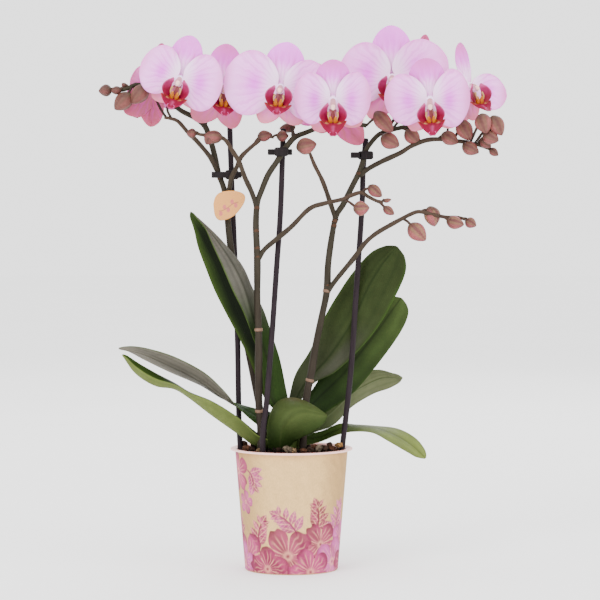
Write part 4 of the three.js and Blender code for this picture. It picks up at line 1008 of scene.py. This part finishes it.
def add_bract(shape, points, place):
    """A small pointed scale that hugs the stem under a branch."""
    fine = even_spline(points, FINE)
    nearest = int(np.argmin(np.linalg.norm(fine - np.array(place), axis=1)))
    way = way_at(fine, nearest, 3)
    facing = np.array([0.25, -1.0, 0.0])
    front = unit(facing - way * np.dot(facing, way))
    u, v = spread(7, 7)
    turn = v * (1.5 * (1 - u ** 1.6) + 0.1)
    reach = 2.7 - 0.9 * nearest / (FINE - 1) + 0.3 * u
    grid = (fine[nearest] + way * (2.8 * u - 1.2)[..., None]
            + front * (reach * np.cos(turn))[..., None]
            + np.cross(front, way) * (reach * np.sin(turn))[..., None])
    add_sheet(shape, grid, 0.3, BRACT_TINT, BRACT_TINT * 0.8)


def bud_tints(share, turn, pink):
    """Three sepals side by side: rosy in the middle, pale green beside their seams."""
    flush = blend(lin(0.37, 0.21, 0.193), lin(0.48, 0.24, 0.27), pink)
    margin = blend(lin(0.32, 0.28, 0.192), lin(0.51, 0.46, 0.26), pink)
    seam = np.abs(np.cos(1.5 * turn + 0.5))
    grown = smooth(0.05, 0.3, share)
    # gleam is a painted highlight along each sepal, about half way up the bud.
    gleam = 0.6 * min(1, 0.35 + 1.8 * pink) * hump(seam, 0.3, 0.18) * hump(share, 0.5, 0.28)
    return paint(flush * 0.6, (flush * 1.2, smooth(0.1, 0.7, share)),
                 (lin(0.68, 0.38, 0.35), gleam),
                 (margin, (0.4 + 0.3 * pink) * hump(seam, 0.80, 0.13) * grown),
                 (lin(0.25, 0.155, 0.133), 0.5 * smooth(0.93, 1.0, seam) * grown),
                 (flush * 0.55, 0.5 * smooth(0.85, 1.0, share)),
                 (lin(0.26, 0.24, 0.150), 0.7 * (1 - smooth(0.0, 0.3, share))))


def add_bud(shape, root, base, tip, radius):
    """A closed bud on its pedicel: three sepals that meet in shallow seams at a blunt point. The
    low buds are the pinkest, and those at the far left have no pink."""
    pink = 0.9 if root[2] < 290 else 0.0 if root[0] < -90 else 0.35
    base, tip = np.array(base, dtype=float), np.array(tip, dtype=float)
    inside = base + 0.25 * (tip - base)
    middle = (np.array(root) + inside) / 2 + [0, 0, 1.2]
    add_pedicel(shape, [root, middle, inside], 1.15, pitch=1.2)
    rings, sides = BUD_STEPS
    share = (1 - np.cos(math.pi * np.linspace(0, 1, rings))) / 2
    share = np.clip(share, 0.002, 0.998)[:, None]
    swell = radius * np.sin(math.pi * share ** 0.85) ** 0.72
    turn = ring_angles(sides)
    valley = np.abs(np.cos(1.5 * turn))
    relief = 1.0 - (0.085 * valley ** 8 + 0.03 * valley) * np.sin(math.pi * share)
    tints = bud_tints(share, turn, pink) * (0.68 + 0.32 * smooth(3.8, 6.5, radius))
    add_tube(shape, base + share * (tip - base), swell[:, 0], tints, sides, look=1, relief=relief)


def make_spike(name):
    """A spike's stems with their rings, bracts and buds, and the pedicels of its blooms."""
    spike = SPIKES[name]
    shape = Shape()
    add_twig(shape, spike["main"], STEM_SIZE["main"], STEM_SIZE["tip"], BROWN, OLIVE, sides=16)
    for points in spike["branches"]:
        add_twig(shape, points, STEM_SIZE["branch"], STEM_SIZE["twig"],
                 blend(OLIVE, BROWN, 0.4), blend(OLIVE, ROSE, 0.6), pitch=2.4)
    for place, radius in spike["rings"]:
        add_ring(shape, spike["main"], place, radius)
    for place in spike["bracts"]:
        add_bract(shape, spike["main"], place)
    for bud in spike["buds"]:
        add_bud(shape, *bud)
    for bloom in BLOOMS.values():
        if bloom["on"] == name:
            end = moved([0, HUB_RADIUS + 0.35, 0], bloom_matrix(bloom))
            add_pedicel(shape, [*bloom["pedicel"], end], 1.3, pitch=1.6)
    shape.build(f"{name}_stems", [STEM, BUD], [name])


# ---- blooms ----
# Centre, how it turns (yaw to the right, pitch down, roll clockwise, in degrees), the spike it
# hangs on, how much pink its tepals are flushed with, and its pedicel. Its tepals are the top
# sepal, right and left petal, lower right and left sepal, each with its length, width and turn
# from upright.
BLOOMS = {
    "bloom_a": {
        "at": (-81, -27, 361), "turns": (-4, 6, 15), "on": "spike_left", "flush": 0.35,
        "tepals": [(32.5, 24, 0), (31, 42, 84), (31, 37, -79), (26, 19, 130), (25, 19, -139)],
        "pedicel": [(-88, -9, 333), (-91, -9, 341), (-86, -12, 352)]},
    "bloom_b": {
        "at": (-50, -6, 356), "turns": (12, 4, 7), "on": "spike_left", "flush": 1.0,
        "tepals": [(32, 25, 0), (30.5, 34, 81), (30, 34, -83), (32, 21, 155), (32, 24, -148)],
        "pedicel": [(-64, 4, 328), (-59, 9, 338), (-52, 7, 350)]},
    "bloom_c": {
        "at": (-8, -24, 355), "turns": (-2, 0, 6), "on": "spike_middle", "flush": 0.0,
        "tepals": [(34, 29, 4), (36, 44, 88), (42, 48, -86), (30, 21, 147), (29, 20, -156)],
        "pedicel": [(3, -11, 319), (-1, -9, 330), (-6, -12, 346)]},
    "bloom_d": {
        "at": (30, -44, 346), "turns": (0, 26, 0), "on": "spike_middle", "flush": 0.9,
        "tepals": [(29, 25, 0), (27.5, 42, 91), (28, 41, -90), (31, 22, 140), (31, 21, -158)],
        "pedicel": [(21, -5, 327), (24, -14, 333), (29, -28, 345)]},
    "bloom_e": {
        "at": (74, -4, 363), "turns": (-4, 0, 0), "on": "spike_right", "flush": 0.15,
        "tepals": [(38.9, 30, -2), (43, 42, 70), (40, 46, -80), (34, 24, 150), (34, 22, -151)],
        "pedicel": [(71, 2, 324), (77, 13, 337), (77, 11, 354)]},
    "bloom_f": {
        "at": (100, -42, 346), "turns": (-3, 24, -6), "on": "spike_right", "flush": 0.9,
        "tepals": [(30, 26, -2), (29, 45, 96), (33, 40, -87), (30, 20, 150), (30, 20, -148)],
        "pedicel": [(86, -4, 327), (92, -14, 331), (99, -28, 345)]},
    "bloom_g": {
        "at": (131, 0, 357), "turns": (36, -4, -4), "on": "spike_right", "flush": 1.0,
        "tepals": [(33, 14, 0), (40, 27, 103), (26, 25, -84), (26, 18, 165), (28, 20, -165)],
        "pedicel": [(113, -10, 317), (116, -4, 330), (122, 4, 350)]},
    "bloom_h": {
        "at": (-104, 14, 356), "turns": (208, 6, -14), "on": "spike_left", "flush": 0.6,
        "tepals": [(34, 13, 0), (19, 27, 84), (28, 28, -84), (32, 22, 141), (30, 20, -176)],
        "pedicel": [(-92, -8, 334), (-97, -4, 342), (-102, 4, 353)]},
    "bloom_j": {
        "at": (29, 16, 345), "turns": (176, 4, 8), "on": "spike_middle", "flush": 0.6,
        "tepals": [(34, 22, 22), (31, 33, 84), (25, 30, -84), (24, 18, 153), (39, 21, -151)],
        "pedicel": [(31, -3, 331), (32, 0, 338), (31, 6, 344)]},
    "bloom_l": {
        "at": (95, 26, 356), "turns": (170, 0, -8), "on": "spike_right", "flush": 0.6,
        "tepals": [(40.5, 13, 0), (31, 33, 84), (31, 33, -84), (30, 20, 153), (30, 20, -153)],
        "pedicel": [(74, 2, 325), (84, 8, 338), (93, 16, 354)]},
}
HUB_RADIUS = 3.3
TEPAL_ROOT = 2.0  # how far from the bloom's middle a tepal starts
VEIN_SPREAD = 2.8  # radians over which a tepal's veins fan out from its foot
# Claw, swell and round shape a tepal's outline, and lean is in degrees. Curl, cup, depth and ripple
# are how far it leaves a plane.
PETAL_FORM = {"claw": 0.2, "swell": 1.06, "round": 0.5, "lean": 4, "curl": 2.5, "cup": 1.2,
              "depth": -0.8, "steps": (50, 41), "ripple": 0.55}
DORSAL_FORM = {"claw": 0.3, "swell": 0.95, "round": 0.5, "lean": 3, "curl": 2, "cup": 1.6,
               "depth": 2.0, "steps": (42, 27), "ripple": 0.25}
LATERAL_FORM = {"claw": 0.3, "swell": 0.92, "round": 0.54, "lean": 4, "curl": 2, "cup": 1.4,
                "depth": 2.2, "steps": (42, 27), "ripple": 0.25}
TEPALS = [("dorsal", DORSAL_FORM), ("petal_right", PETAL_FORM), ("petal_left", PETAL_FORM),
          ("sepal_right", LATERAL_FORM), ("sepal_left", LATERAL_FORM)]
LILAC, NEAR_WHITE = lin(0.91, 0.36, 0.92), lin(0.99, 0.84, 0.99)
EDGE_LILAC, PALE_LILAC = lin(0.90, 0.55, 0.82), lin(0.99, 0.66, 0.96)
DEEP_PINK, SEPAL_BEIGE = lin(0.74, 0.38, 0.59), lin(0.77, 0.46, 0.50)
# The throat's beige-brown: on the petals and sepals beside the throat it is painted shade.
BACK_ROSE, THROAT_BROWN_AND_SHADE = lin(0.69, 0.35, 0.44), lin(0.50, 0.33, 0.29)


def bloom_matrix(bloom):
    matrix = Matrix.Translation(bloom["at"])
    for degrees, axis in zip(bloom["turns"], "ZXY"):
        matrix = matrix @ Matrix.Rotation(math.radians(degrees), 4, axis)
    return matrix


def tepal_grid(form, length, width, turn, rng):
    """The middle surface of a tepal in its bloom's frame, with how far along and across each of
    its points is, and which vein it lies on."""
    rows, columns = form["steps"]
    u, v = spread(rows, columns)
    u = 0.5 - 0.5 * np.cos(math.pi * u)
    bulge = np.maximum(0, np.sin(math.pi * u ** form["swell"])) ** form["round"]
    outline = np.maximum(0.03, bulge + form["claw"] * (1 - bulge) * (1 - u))
    across = 0.5 * width * outline * v
    reach = TEPAL_ROOT + (length - TEPAL_ROOT) * u
    lean = math.radians(form["lean"])
    along = reach * math.cos(lean)
    phase = rng.uniform(0, 6.3, 3)
    rim = np.abs(v) ** 3 * smooth(0.15, 0.5, u) * (1 - 0.7 * smooth(0.85, 1, u))
    ripple = form["ripple"] * rim * (np.sin(9 * u + phase[0] + v) + 0.6 * np.sin(17 * u + phase[1]))
    crease = 0.5 * hump(v, 0, 0.12) * smooth(0.05, 0.3, u) * (1 - smooth(0.55, 1, u))
    billow = 0.5 * np.sin(2.6 * v + phase[2]) * np.sin(math.pi * u)
    back = (form["depth"] + reach * math.sin(lean) + form["curl"] * u ** 2
            + form["cup"] * v ** 2 * bulge + ripple + crease + billow)
    t = math.radians(turn)
    grid = xyz(math.sin(t) * along + math.cos(t) * across, back,
               math.cos(t) * along - math.sin(t) * across)
    return grid, u, v, 0.5 + np.arctan2(across, reach + 1) / VEIN_SPREAD


def petal_tints(u, v, turn, flush):
    """Pale lilac with a lilac patch in the middle, near white at the centre of the bloom."""
    rim = np.maximum(smooth(0.78, 1.0, u), smooth(0.8, 1.0, np.abs(v)))
    # The darker rim is partly a pinker margin, partly painted shade where the petal curves.
    front = paint(PALE_LILAC, (EDGE_LILAC, 0.75 * rim),
                  (DEEP_PINK, 0.55 * flush * smooth(0.6, 1.0, u)),
                  (LILAC, 0.9 * hump(u, 0.43, 0.17) * hump(v, 0, 0.4)),
                  (NEAR_WHITE, 0.9 * hump(u, 0.08, 0.18)),
                  # The brown low beside the throat is painted shade.
                  (THROAT_BROWN_AND_SHADE, 0.7 * hump(u, 0.10, 0.15) * smooth(0.2, 1.0, v * np.sign(turn))))
    return front, blend(front, BACK_ROSE, 0.6)


def sepal_tints(u, v, part, flush):
    """Pale lilac at the top, beige below, painted crease shadows near the foot, rosy on the back."""
    # Painted shade: crease shadow lines near the foot, and brown shade at the lower sepals' foot.
    crease_shadows = (hump(v, -0.45, 0.06) + hump(v, 0.45, 0.06)) * smooth(0.1, 0.3, u)
    crease_shadows = crease_shadows * (1 - smooth(0.5, 0.8, u))
    if part == "dorsal":
        front = paint(PALE_LILAC, (LILAC, 0.7 * smooth(0.2, 0.6, u)),
                      (DEEP_PINK, flush * (0.1 + 0.7 * smooth(0.4, 1.0, u))),
                      (NEAR_WHITE, 0.8 * hump(u, 0.2, 0.24)), (DEEP_PINK, 0.4 * crease_shadows))
    else:
        front = paint(SEPAL_BEIGE, (EDGE_LILAC, 0.5 * hump(u, 0.6, 0.3) * (1 - v ** 2)),
                      (BACK_ROSE, 0.5 * flush * smooth(0.2, 0.8, u)),
                      (THROAT_BROWN_AND_SHADE, 0.5 * hump(u, 0.1, 0.2) + 0.35 * crease_shadows))
    stripe = 0.45 * hump(v, 0, 0.35) * smooth(0.1, 0.4, u)
    return front, paint(front, (BACK_ROSE, 0.85), (lin(0.56, 0.28, 0.34), stripe))


def make_column(name, matrix):
    """The bloom's hub and the short arched column over the lip, with its cap and stigma."""
    shape = Shape()
    ball, angle = HUB_RADIUS * 0.98, np.linspace(0, math.pi, 14)
    add_tube(shape, -ball * np.cos(angle)[:, None] * [0, 1, 0],
             np.maximum(0.05, ball * np.sin(angle)), NEAR_WHITE, 20)
    path = [(0, 0.5, 0.6), (0, -3, -0.4), (0, -5.8, -1.7), (0, -7.7, -3.2), (0, -8.4, -4.5)]
    rings, sides = 26, ring_angles(20)
    share = np.linspace(0, 1, rings)[:, None]
    radii = np.interp(share[:, 0], [0, 0.4, 0.72, 0.9, 1.0], [2.1, 2.3, 2.85, 2.3, 0.25])
    under = smooth(0.1, 0.9, -np.sin(sides))
    tints = paint(lin(0.97, 0.77, 0.91), (lin(0.64, 0.41, 0.38), 0.8 * under),
                  (THROAT_BROWN_AND_SHADE, 0.7 * under * smooth(0.75, 1.0, share)))
    relief = 1 + 0.10 * np.cos(2 * sides) * smooth(0.4, 0.8, share)
    add_tube(shape, even_spline(path, rings), radii, tints, len(sides), relief=relief)
    cap = [(0, -6.6, -1.3), (0, -8.2, -2.0), (0, -9.1, -3.3), (0, -9.2, -4.4)]
    radii = np.interp(np.linspace(0, 1, 14), [0, 0.3, 0.7, 1], [0.4, 1.9, 1.6, 0.15])
    add_tube(shape, even_spline(cap, 14), radii, lin(0.96, 0.76, 0.73), 16)
    shape.build(f"{name}_column", [FLESH], [], matrix)


def make_bloom(name):
    """A bloom's five tepals, whose upper faces look forward, and its column."""
    bloom = BLOOMS[name]
    rng = np.random.default_rng(sum(name.encode()))
    matrix = bloom_matrix(bloom)
    for (part, form), size in zip(TEPALS, bloom["tepals"]):
        grid, u, v, fan = tepal_grid(form, *size, rng)
        if form is PETAL_FORM:
            front, back = petal_tints(u, v, size[2], bloom["flush"])
        else:
            front, back = sepal_tints(u, v, part, bloom["flush"])
        shape = Shape()
        add_sheet(shape, grid, 0.95 - 0.45 * u - 0.15 * np.abs(v), back, front, -1, fan)
        shape.build(f"{name}_{part}", [PETAL], [name] if part == "dorsal" else [], matrix)
    make_column(name, matrix)


# ---- lips ----
# Where a side lobe stands and how far it spreads. The apron's fall is in degrees.
LOBE = {"foot": -15.2, "rise": 16.4, "spread": 5.4, "start": 1.6, "depth": -8.6, "width": 7.8}
APRON = {"from": (0, -9.4, -13.9), "length": 11.6, "fall": 32, "width": 20.0}
CRIMSON, MAGENTA = lin(0.47, 0.014, 0.163), lin(0.57, 0.151, 0.35)
PALE_PINK, DARK_RED = lin(0.82, 0.39, 0.62), lin(0.32, 0.069, 0.086)
ORANGE, TOOTH = lin(0.66, 0.37, 0.000), lin(0.65, 0.51, 0.33)


def add_lobe(shape, side):
    """An upright side lobe, like a cupped hand, with its top rolled inward."""
    u, v = spread(30, 17)
    half = 0.5 * LOBE["width"] * (0.4 + 0.6 * np.sin(math.pi * (0.08 + 0.84 * u)))
    half = half * (1 - 0.6 * smooth(0.86, 1.0, u) ** 2)
    hollow = 0.7 * (1 - v ** 2) * np.sin(math.pi * u)
    bow = LOBE["spread"] * np.sin(math.pi * (0.06 + 0.8 * u))
    grid = xyz(side * (LOBE["start"] + bow + 0.75 * half * v + 0.66 * hollow),
               LOBE["depth"] - 1.6 * np.sin(math.pi * u) - 0.66 * half * v + 0.75 * hollow,
               LOBE["foot"] + LOBE["rise"] * u - 0.6 * v ** 2 * smooth(0.6, 1, u))
    rim = 0.7 * smooth(0.75, 1.0, u) + 0.4 * smooth(0.6, 1.0, v) * smooth(0.3, 0.8, u)
    inner = paint(CRIMSON, (MAGENTA, 0.8 * smooth(0.35, 0.75, u)),
                  (lin(0.55, 0.187, 0.096), 0.75 * hump(u, 0.02, 0.16) * smooth(-0.4, 1, v)),
                  (PALE_PINK, np.minimum(1, rim)))
    outer = blend(inner, lin(0.66, 0.20, 0.41), 0.7 * smooth(0.1, 0.6, u))
    front, back = (inner, outer) if side < 0 else (outer, inner)
    add_sheet(shape, grid, 0.75 - 0.25 * np.abs(v), front, back)


def add_apron(shape):
    """The front lobe: a crimson kite whose wings turn up, pale down the middle, with two tendrils
    curled at its tip."""
    u, v = spread(34, 29)
    falling = 1 - 0.84 * (np.maximum(u - 0.25, 0) / 0.75) ** 1.3
    wings = np.where(u < 0.25, 0.4 + 2.4 * u, falling)
    along, fall = APRON["length"] * u, math.radians(APRON["fall"])
    turn_up = 1.4 * np.abs(v) ** 3 * hump(u, 0.28, 0.22)
    keel = 0.8 * hump(v, 0, 0.16) * (1 - smooth(0.6, 1, u))
    offset = xyz(0.5 * APRON["width"] * wings * v,
                 -along * math.cos(fall) + 1.2 * v ** 2 * wings + 0.4 * keel,
                 -along * math.sin(fall) + 2.2 * v ** 2 * wings + turn_up + 0.6 * keel)
    grid = APRON["from"] + offset
    pale = hump(v, 0, 0.14) * smooth(0.2, 0.4, u) * (1 - smooth(0.6, 0.9, u))
    lines = np.abs(np.cos(9 * v + 0.5)) ** 8 * smooth(0.1, 0.3, u) * (1 - smooth(0.5, 0.8, u))
    top = paint(CRIMSON, (lin(0.49, 0.000, 0.196), 0.8 * smooth(0.2, 0.6, u)),
                (PALE_PINK, 0.3 * pale),
                (lin(0.59, 0.23, 0.085), 0.8 * hump(u, 0.06, 0.12) * np.abs(v)),
                (lin(0.63, 0.25, 0.094), 0.6 * smooth(0.88, 1.0, np.abs(v)) * (u < 0.5)),
                (PALE_PINK, 0.5 * smooth(0.93, 1.0, u)),
                (TOOTH, 0.85 * hump(u, 0.16, 0.035) * smooth(0.35, 0.6, np.abs(v))),
                (DARK_RED, 0.3 * lines))
    add_sheet(shape, grid, 0.8 - 0.3 * u, top, blend(top, lin(0.68, 0.150, 0.33), 0.4))
    tip = grid[-1, 14]
    share = np.linspace(0, 1, 14)
    for side in (-1, 1):
        curl = [(0.7, 0.7, 0.3), (1.4, -0.2, 0.2), (2.4, -0.4, 1.2), (2.6, 0, 2.3), (1.8, 0.5, 2.9)]
        add_tube(shape, even_spline(tip + np.array(curl) * [side, 1, 1], 14),
                 0.42 - 0.26 * share, blend(CRIMSON, PALE_PINK, share), 8)


def add_throat(shape):
    """Claw, callus with its two lobes, and the pale teeth on both sides of it."""
    claw = [(0, -1.1, -3.95), (0, -4.6, -7.2), (0, -7.6, -11.0), (0, -9.2, -13.6)]
    add_tube(shape, even_spline(claw, 12), np.linspace(1.2, 1.9, 12),
             blend(THROAT_BROWN_AND_SHADE, CRIMSON, np.linspace(0, 0.9, 12)), 14)
    share, turn = np.linspace(0, 1, 16)[:, None], ring_angles(24)
    swell = 1.65 * np.maximum(0.05, np.sin(math.pi * share[:, 0] ** 0.85)) ** 0.75
    spots = 1.6 * (np.sin(31 * share + 3) * np.sin(7 * turn + 9 * share) - 0.25)
    tints = paint(ORANGE, (DARK_RED, np.clip(spots, 0, 0.8)),
                  (lin(0.95, 0.66, 0.000), 0.4 * smooth(0.8, 1, share)))
    for side in (-1, 1):
        x = side * (0.9 + 0.9 * share + 0.5 * np.sin(math.pi * share))
        path = np.concatenate([x, -8.8 - 2.2 * share, -14.8 + 6.6 * share], axis=1)
        add_tube(shape, path, swell, tints, len(turn), look=1)
        tooth = [(side * 3.0, -9.6, -5.4), (side * 3.5, -10.8, -7.8), (side * 3.0, -11.2, -10.6)]
        add_tube(shape, even_spline(tooth, 10), np.linspace(0.95, 0.3, 10), TOOTH, 10, look=1)


def make_lip(name):
    shape = Shape()
    add_throat(shape)
    for side in (-1, 1):
        add_lobe(shape, side)
    add_apron(shape)
    shape.build(f"{name}_lip_flesh", [LIP, FLESH], [f"{name}_lip"],
                bloom_matrix(BLOOMS[name]))


# ---- stakes, clips, tag ----
STAKES = {"left": [(-38, 2, 90), (-40, 6, 170), (-42, 10, 229), (-45, 13, 303), (-46, 15, 338)],
          "middle": [(-21, -26, 94), (-18, -23, 127), (-14, -18, 178), (-11, -14, 222),
                     (-8, -9, 266), (-6, -3, 326)],
          "right": [(37.5, -3, 90), (44, 1, 148), (48, 3, 207), (52, 5, 266), (53, 7, 295),
                    (55, 8, 319)]}
STAKE_RADIUS, STAKE_FOOT, STAKE_RINGS = 2.1, 30, 90


def make_stake(side):
    """A stick from deep in the bark to its rounded upper end."""
    points = np.array(STAKES[side], dtype=float)
    fall = (points[0, 2] - STAKE_FOOT) / (points[1, 2] - points[0, 2])
    foot = points[0] - fall * (points[1] - points[0])
    foot[:2] = 0.8 * points[0, :2]
    path = even_spline([foot, *points], STAKE_RINGS)
    end = path[-1] - np.outer([1.2, 0.45, 0.1, 0], unit(path[-1] - path[-2]))
    radii = STAKE_RADIUS * np.array([0.985] * STAKE_RINGS + [0.88, 0.62, 0.2])
    radii[0] *= 0.5
    shape = Shape()
    add_tube(shape, np.concatenate([path[:-1], end]), radii, lin(0.122, 0.101, 0.115), 18)
    shape.build(f"stake_{side}_rod", [STICK], [f"stake_{side}"])


# Boxes of each clip, low corner and high corner; the first is its block.
CLIP_BOXES = {"clip_left": [((-48.6, 2.6, 288.5), (-39.4, 15.2, 295.5)),
                            ((-57, 1.2, 289.6), (-36.8, 4.0, 294.2)),
                            ((-59, 1.2, 289.6), (-56.4, 10, 294.2))],
              "clip_middle": [((-12.2, -17.0, 305.5), (-2.6, -1.6, 312.0)),
                              ((-17.4, -9.4, 306.4), (0.6, -6.8, 310.8))],
              "clip_right": [((49.4, -3.2, 303.2), (60.0, 11.6, 309.4)),
                             ((43.6, -3.2, 304.2), (52, -0.6, 308.6))]}
CLIP_TINT, RIDGE_TINT = lin(0.104, 0.090, 0.094), lin(0.122, 0.109, 0.109)
CARD_TINT = lin(0.99, 0.72, 0.32)


def add_rounded_box(shape, low, high, edge, tints):
    """A box with rounded edges: rings of a rounded rectangle from its foot to its top."""
    low, high = np.array(low, dtype=float), np.array(high, dtype=float)
    middle, half = (low + high) / 2, (high - low) / 2
    edge = min(edge, 0.45 * half.min())
    angle = np.linspace(0, math.pi / 2, 5) + math.pi / 2 * np.arange(4)[:, None]
    corner = np.array([(1, 1), (-1, 1), (-1, -1), (1, -1)])[:, None] * (half[:2] - edge)
    outline = (corner + edge * np.stack([np.cos(angle), np.sin(angle)], axis=-1)).reshape(-1, 2)
    bend = np.array([1, 0.7, 0.3, 0])
    rise = half[2] - edge + edge * bend
    draw = edge * (1 - np.sqrt(1 - bend ** 2))
    z, draw = np.concatenate([-rise, rise[::-1]]), np.concatenate([draw, draw[::-1]])
    flat = outline * (1 - draw[:, None] / half[:2])[:, None]
    grid = xyz(flat[..., 0], flat[..., 1], z[:, None]) + middle
    rows, columns = grid.shape[:2]
    shape.add(grid, ring_faces(rows, columns), tints)


def make_clip(name):
    """A clip's blocks, with two ridges round the first."""
    shape = Shape()
    for low, high in CLIP_BOXES[name]:
        add_rounded_box(shape, low, high, 1.1, CLIP_TINT)
    (x, y, z), (x_end, y_end, z_end) = CLIP_BOXES[name][0]
    for share in (0.3, 0.7):
        at = y + share * (y_end - y)
        add_rounded_box(shape, (x - 0.35, at - 0.9, z + 0.8),
                        (x_end + 0.35, at + 0.9, z_end - 0.8), 0.5, RIDGE_TINT)
    shape.build(f"{name}_body", [CLIP], [name])


# The card's outline is in x and z.
TAG = {"outline": [(-57.6, 270.4), (-56.2, 275.4), (-52.9, 278.8), (-46.4, 280.2), (-39.6, 279.8),
                   (-34.8, 277.4), (-34.2, 273.2), (-36.6, 268.2), (-41.4, 262.6),
                   (-47.2, 259.2), (-53.0, 258.4), (-56.4, 262.0)],
       "front": -3.2, "thickness": 1.0, "grip": ((-52.0, -2.4, 266.4), (-40.4, 14.2, 271.4))}
TAG_STEPS = (22, 96)  # rings of the printed face, points round each


def twig_height(x):
    return 268.5 + 0.35 * (x + 46) + 1.2 * np.sin(0.35 * (x + 46))


def tag_tints(x, z):
    """Peach card with one small leafy twig across it."""
    on_twig = hump(z, twig_height(x), 0.35) * smooth(-54, -53, x) * (1 - smooth(-40, -38, x))
    tints = blend(lin(0.82, 0.57, 0.31), lin(0.48, 0.20, 0.28), 0.75 * on_twig)
    for k, at in enumerate(np.linspace(-52, -41, 5)):
        height = twig_height(at) + (2.0 if k % 2 else -2.0)
        inside = ((x - at) * 0.8) ** 2 + ((z - height) * 0.62) ** 2
        tints = blend(tints, lin(0.72, 0.27, 0.39), 0.7 * (1 - smooth(0.8, 1.5, inside)))
    return tints


def make_tag():
    """The card: rings of its outline, drawn in on both faces, and the grip behind it."""
    rings, columns = TAG_STEPS
    thick = TAG["thickness"]
    edge = spline([*TAG["outline"], TAG["outline"][0]], np.linspace(0, 1, columns + 1)[:-1])
    middle = edge.mean(axis=0)
    share = np.array([*np.linspace(0.02, 0.985, rings), 0.997, 1.0, 1.0, 0.985, 0.02])
    depth = np.array([0.0] * rings + [0.15, 0.4, thick - 0.15, thick, thick])
    flat = middle + share[:, None, None] * (edge - middle)
    grid = xyz(flat[..., 0], TAG["front"] + depth[:, None], flat[..., 1])
    tints = tag_tints(grid[..., 0], grid[..., 2])
    tints[rings + 1:] = CARD_TINT
    shape = Shape()
    shape.add(grid, ring_faces(len(grid), columns), tints)
    shape.build("tag_card", [CARD], ["tag"])
    grip = Shape()
    add_rounded_box(grip, *TAG["grip"], 0.8, CARD_TINT)
    grip.build("tag_grip", [CARD])


# ---- floor and light ----
# These are in metres. A lamp is its place, its power in watts and the side of its square.
FLOOR_REACH = 6.0
ROOM_LIGHT = 2.3
LIGHT_AIM = (0, 0, 0.25)
LAMPS = {"key": ((-0.9, -1.5, 1.5), 30, 1.0), "fill": ((1.5, -1.1, 0.8), 12, 1.2),
         "back": ((0.4, 1.4, 1.3), 12, 1.0)}


def make_floor():
    mesh = bpy.data.meshes.new("floor")
    a, b = -FLOOR_REACH, FLOOR_REACH
    mesh.from_pydata([(a, a, 0), (b, a, 0), (b, b, 0), (a, b, 0)], [], [(0, 1, 2, 3)])
    floor = new_object("floor", mesh)
    look = Look("floor", roughness=0.9, specular=0.1)
    mesh.materials.append(look.finish(look.vary(lin(0.99, 0.99, 0.99), look.noise(3, 2.0), 0.01)))


def light_room():
    """White light from all sides, and three lamps that look at the plant."""
    world = bpy.data.worlds.new("room")
    world.use_nodes = True
    background = world.node_tree.nodes["Background"]
    background.inputs["Color"].default_value = (1.0, 1.0, 1.0, 1.0)
    background.inputs["Strength"].default_value = ROOM_LIGHT
    bpy.context.scene.world = world
    for name, (place, power, size) in LAMPS.items():
        data = bpy.data.lights.new(name, "AREA")
        data.energy = power
        data.size = size
        lamp = new_object(name, data)
        lamp.location = Vector(place)
        away = Vector(LIGHT_AIM) - lamp.location
        lamp.rotation_euler = away.to_track_quat("-Z", "Y").to_euler()


# ---- assembly ----
make_camera()
make_pot_wall()
make_pot_rim()
make_bark()
make_crown()
for leaf_name in LEAVES:
    make_leaf(leaf_name)
for spike_name in SPIKES:
    make_spike(spike_name)
for bloom_name in BLOOMS:
    make_bloom(bloom_name)
    make_lip(bloom_name)
for stake_side in STAKES:
    make_stake(stake_side)
for clip_name in CLIP_BOXES:
    make_clip(clip_name)
make_tag()
make_floor()
light_room()
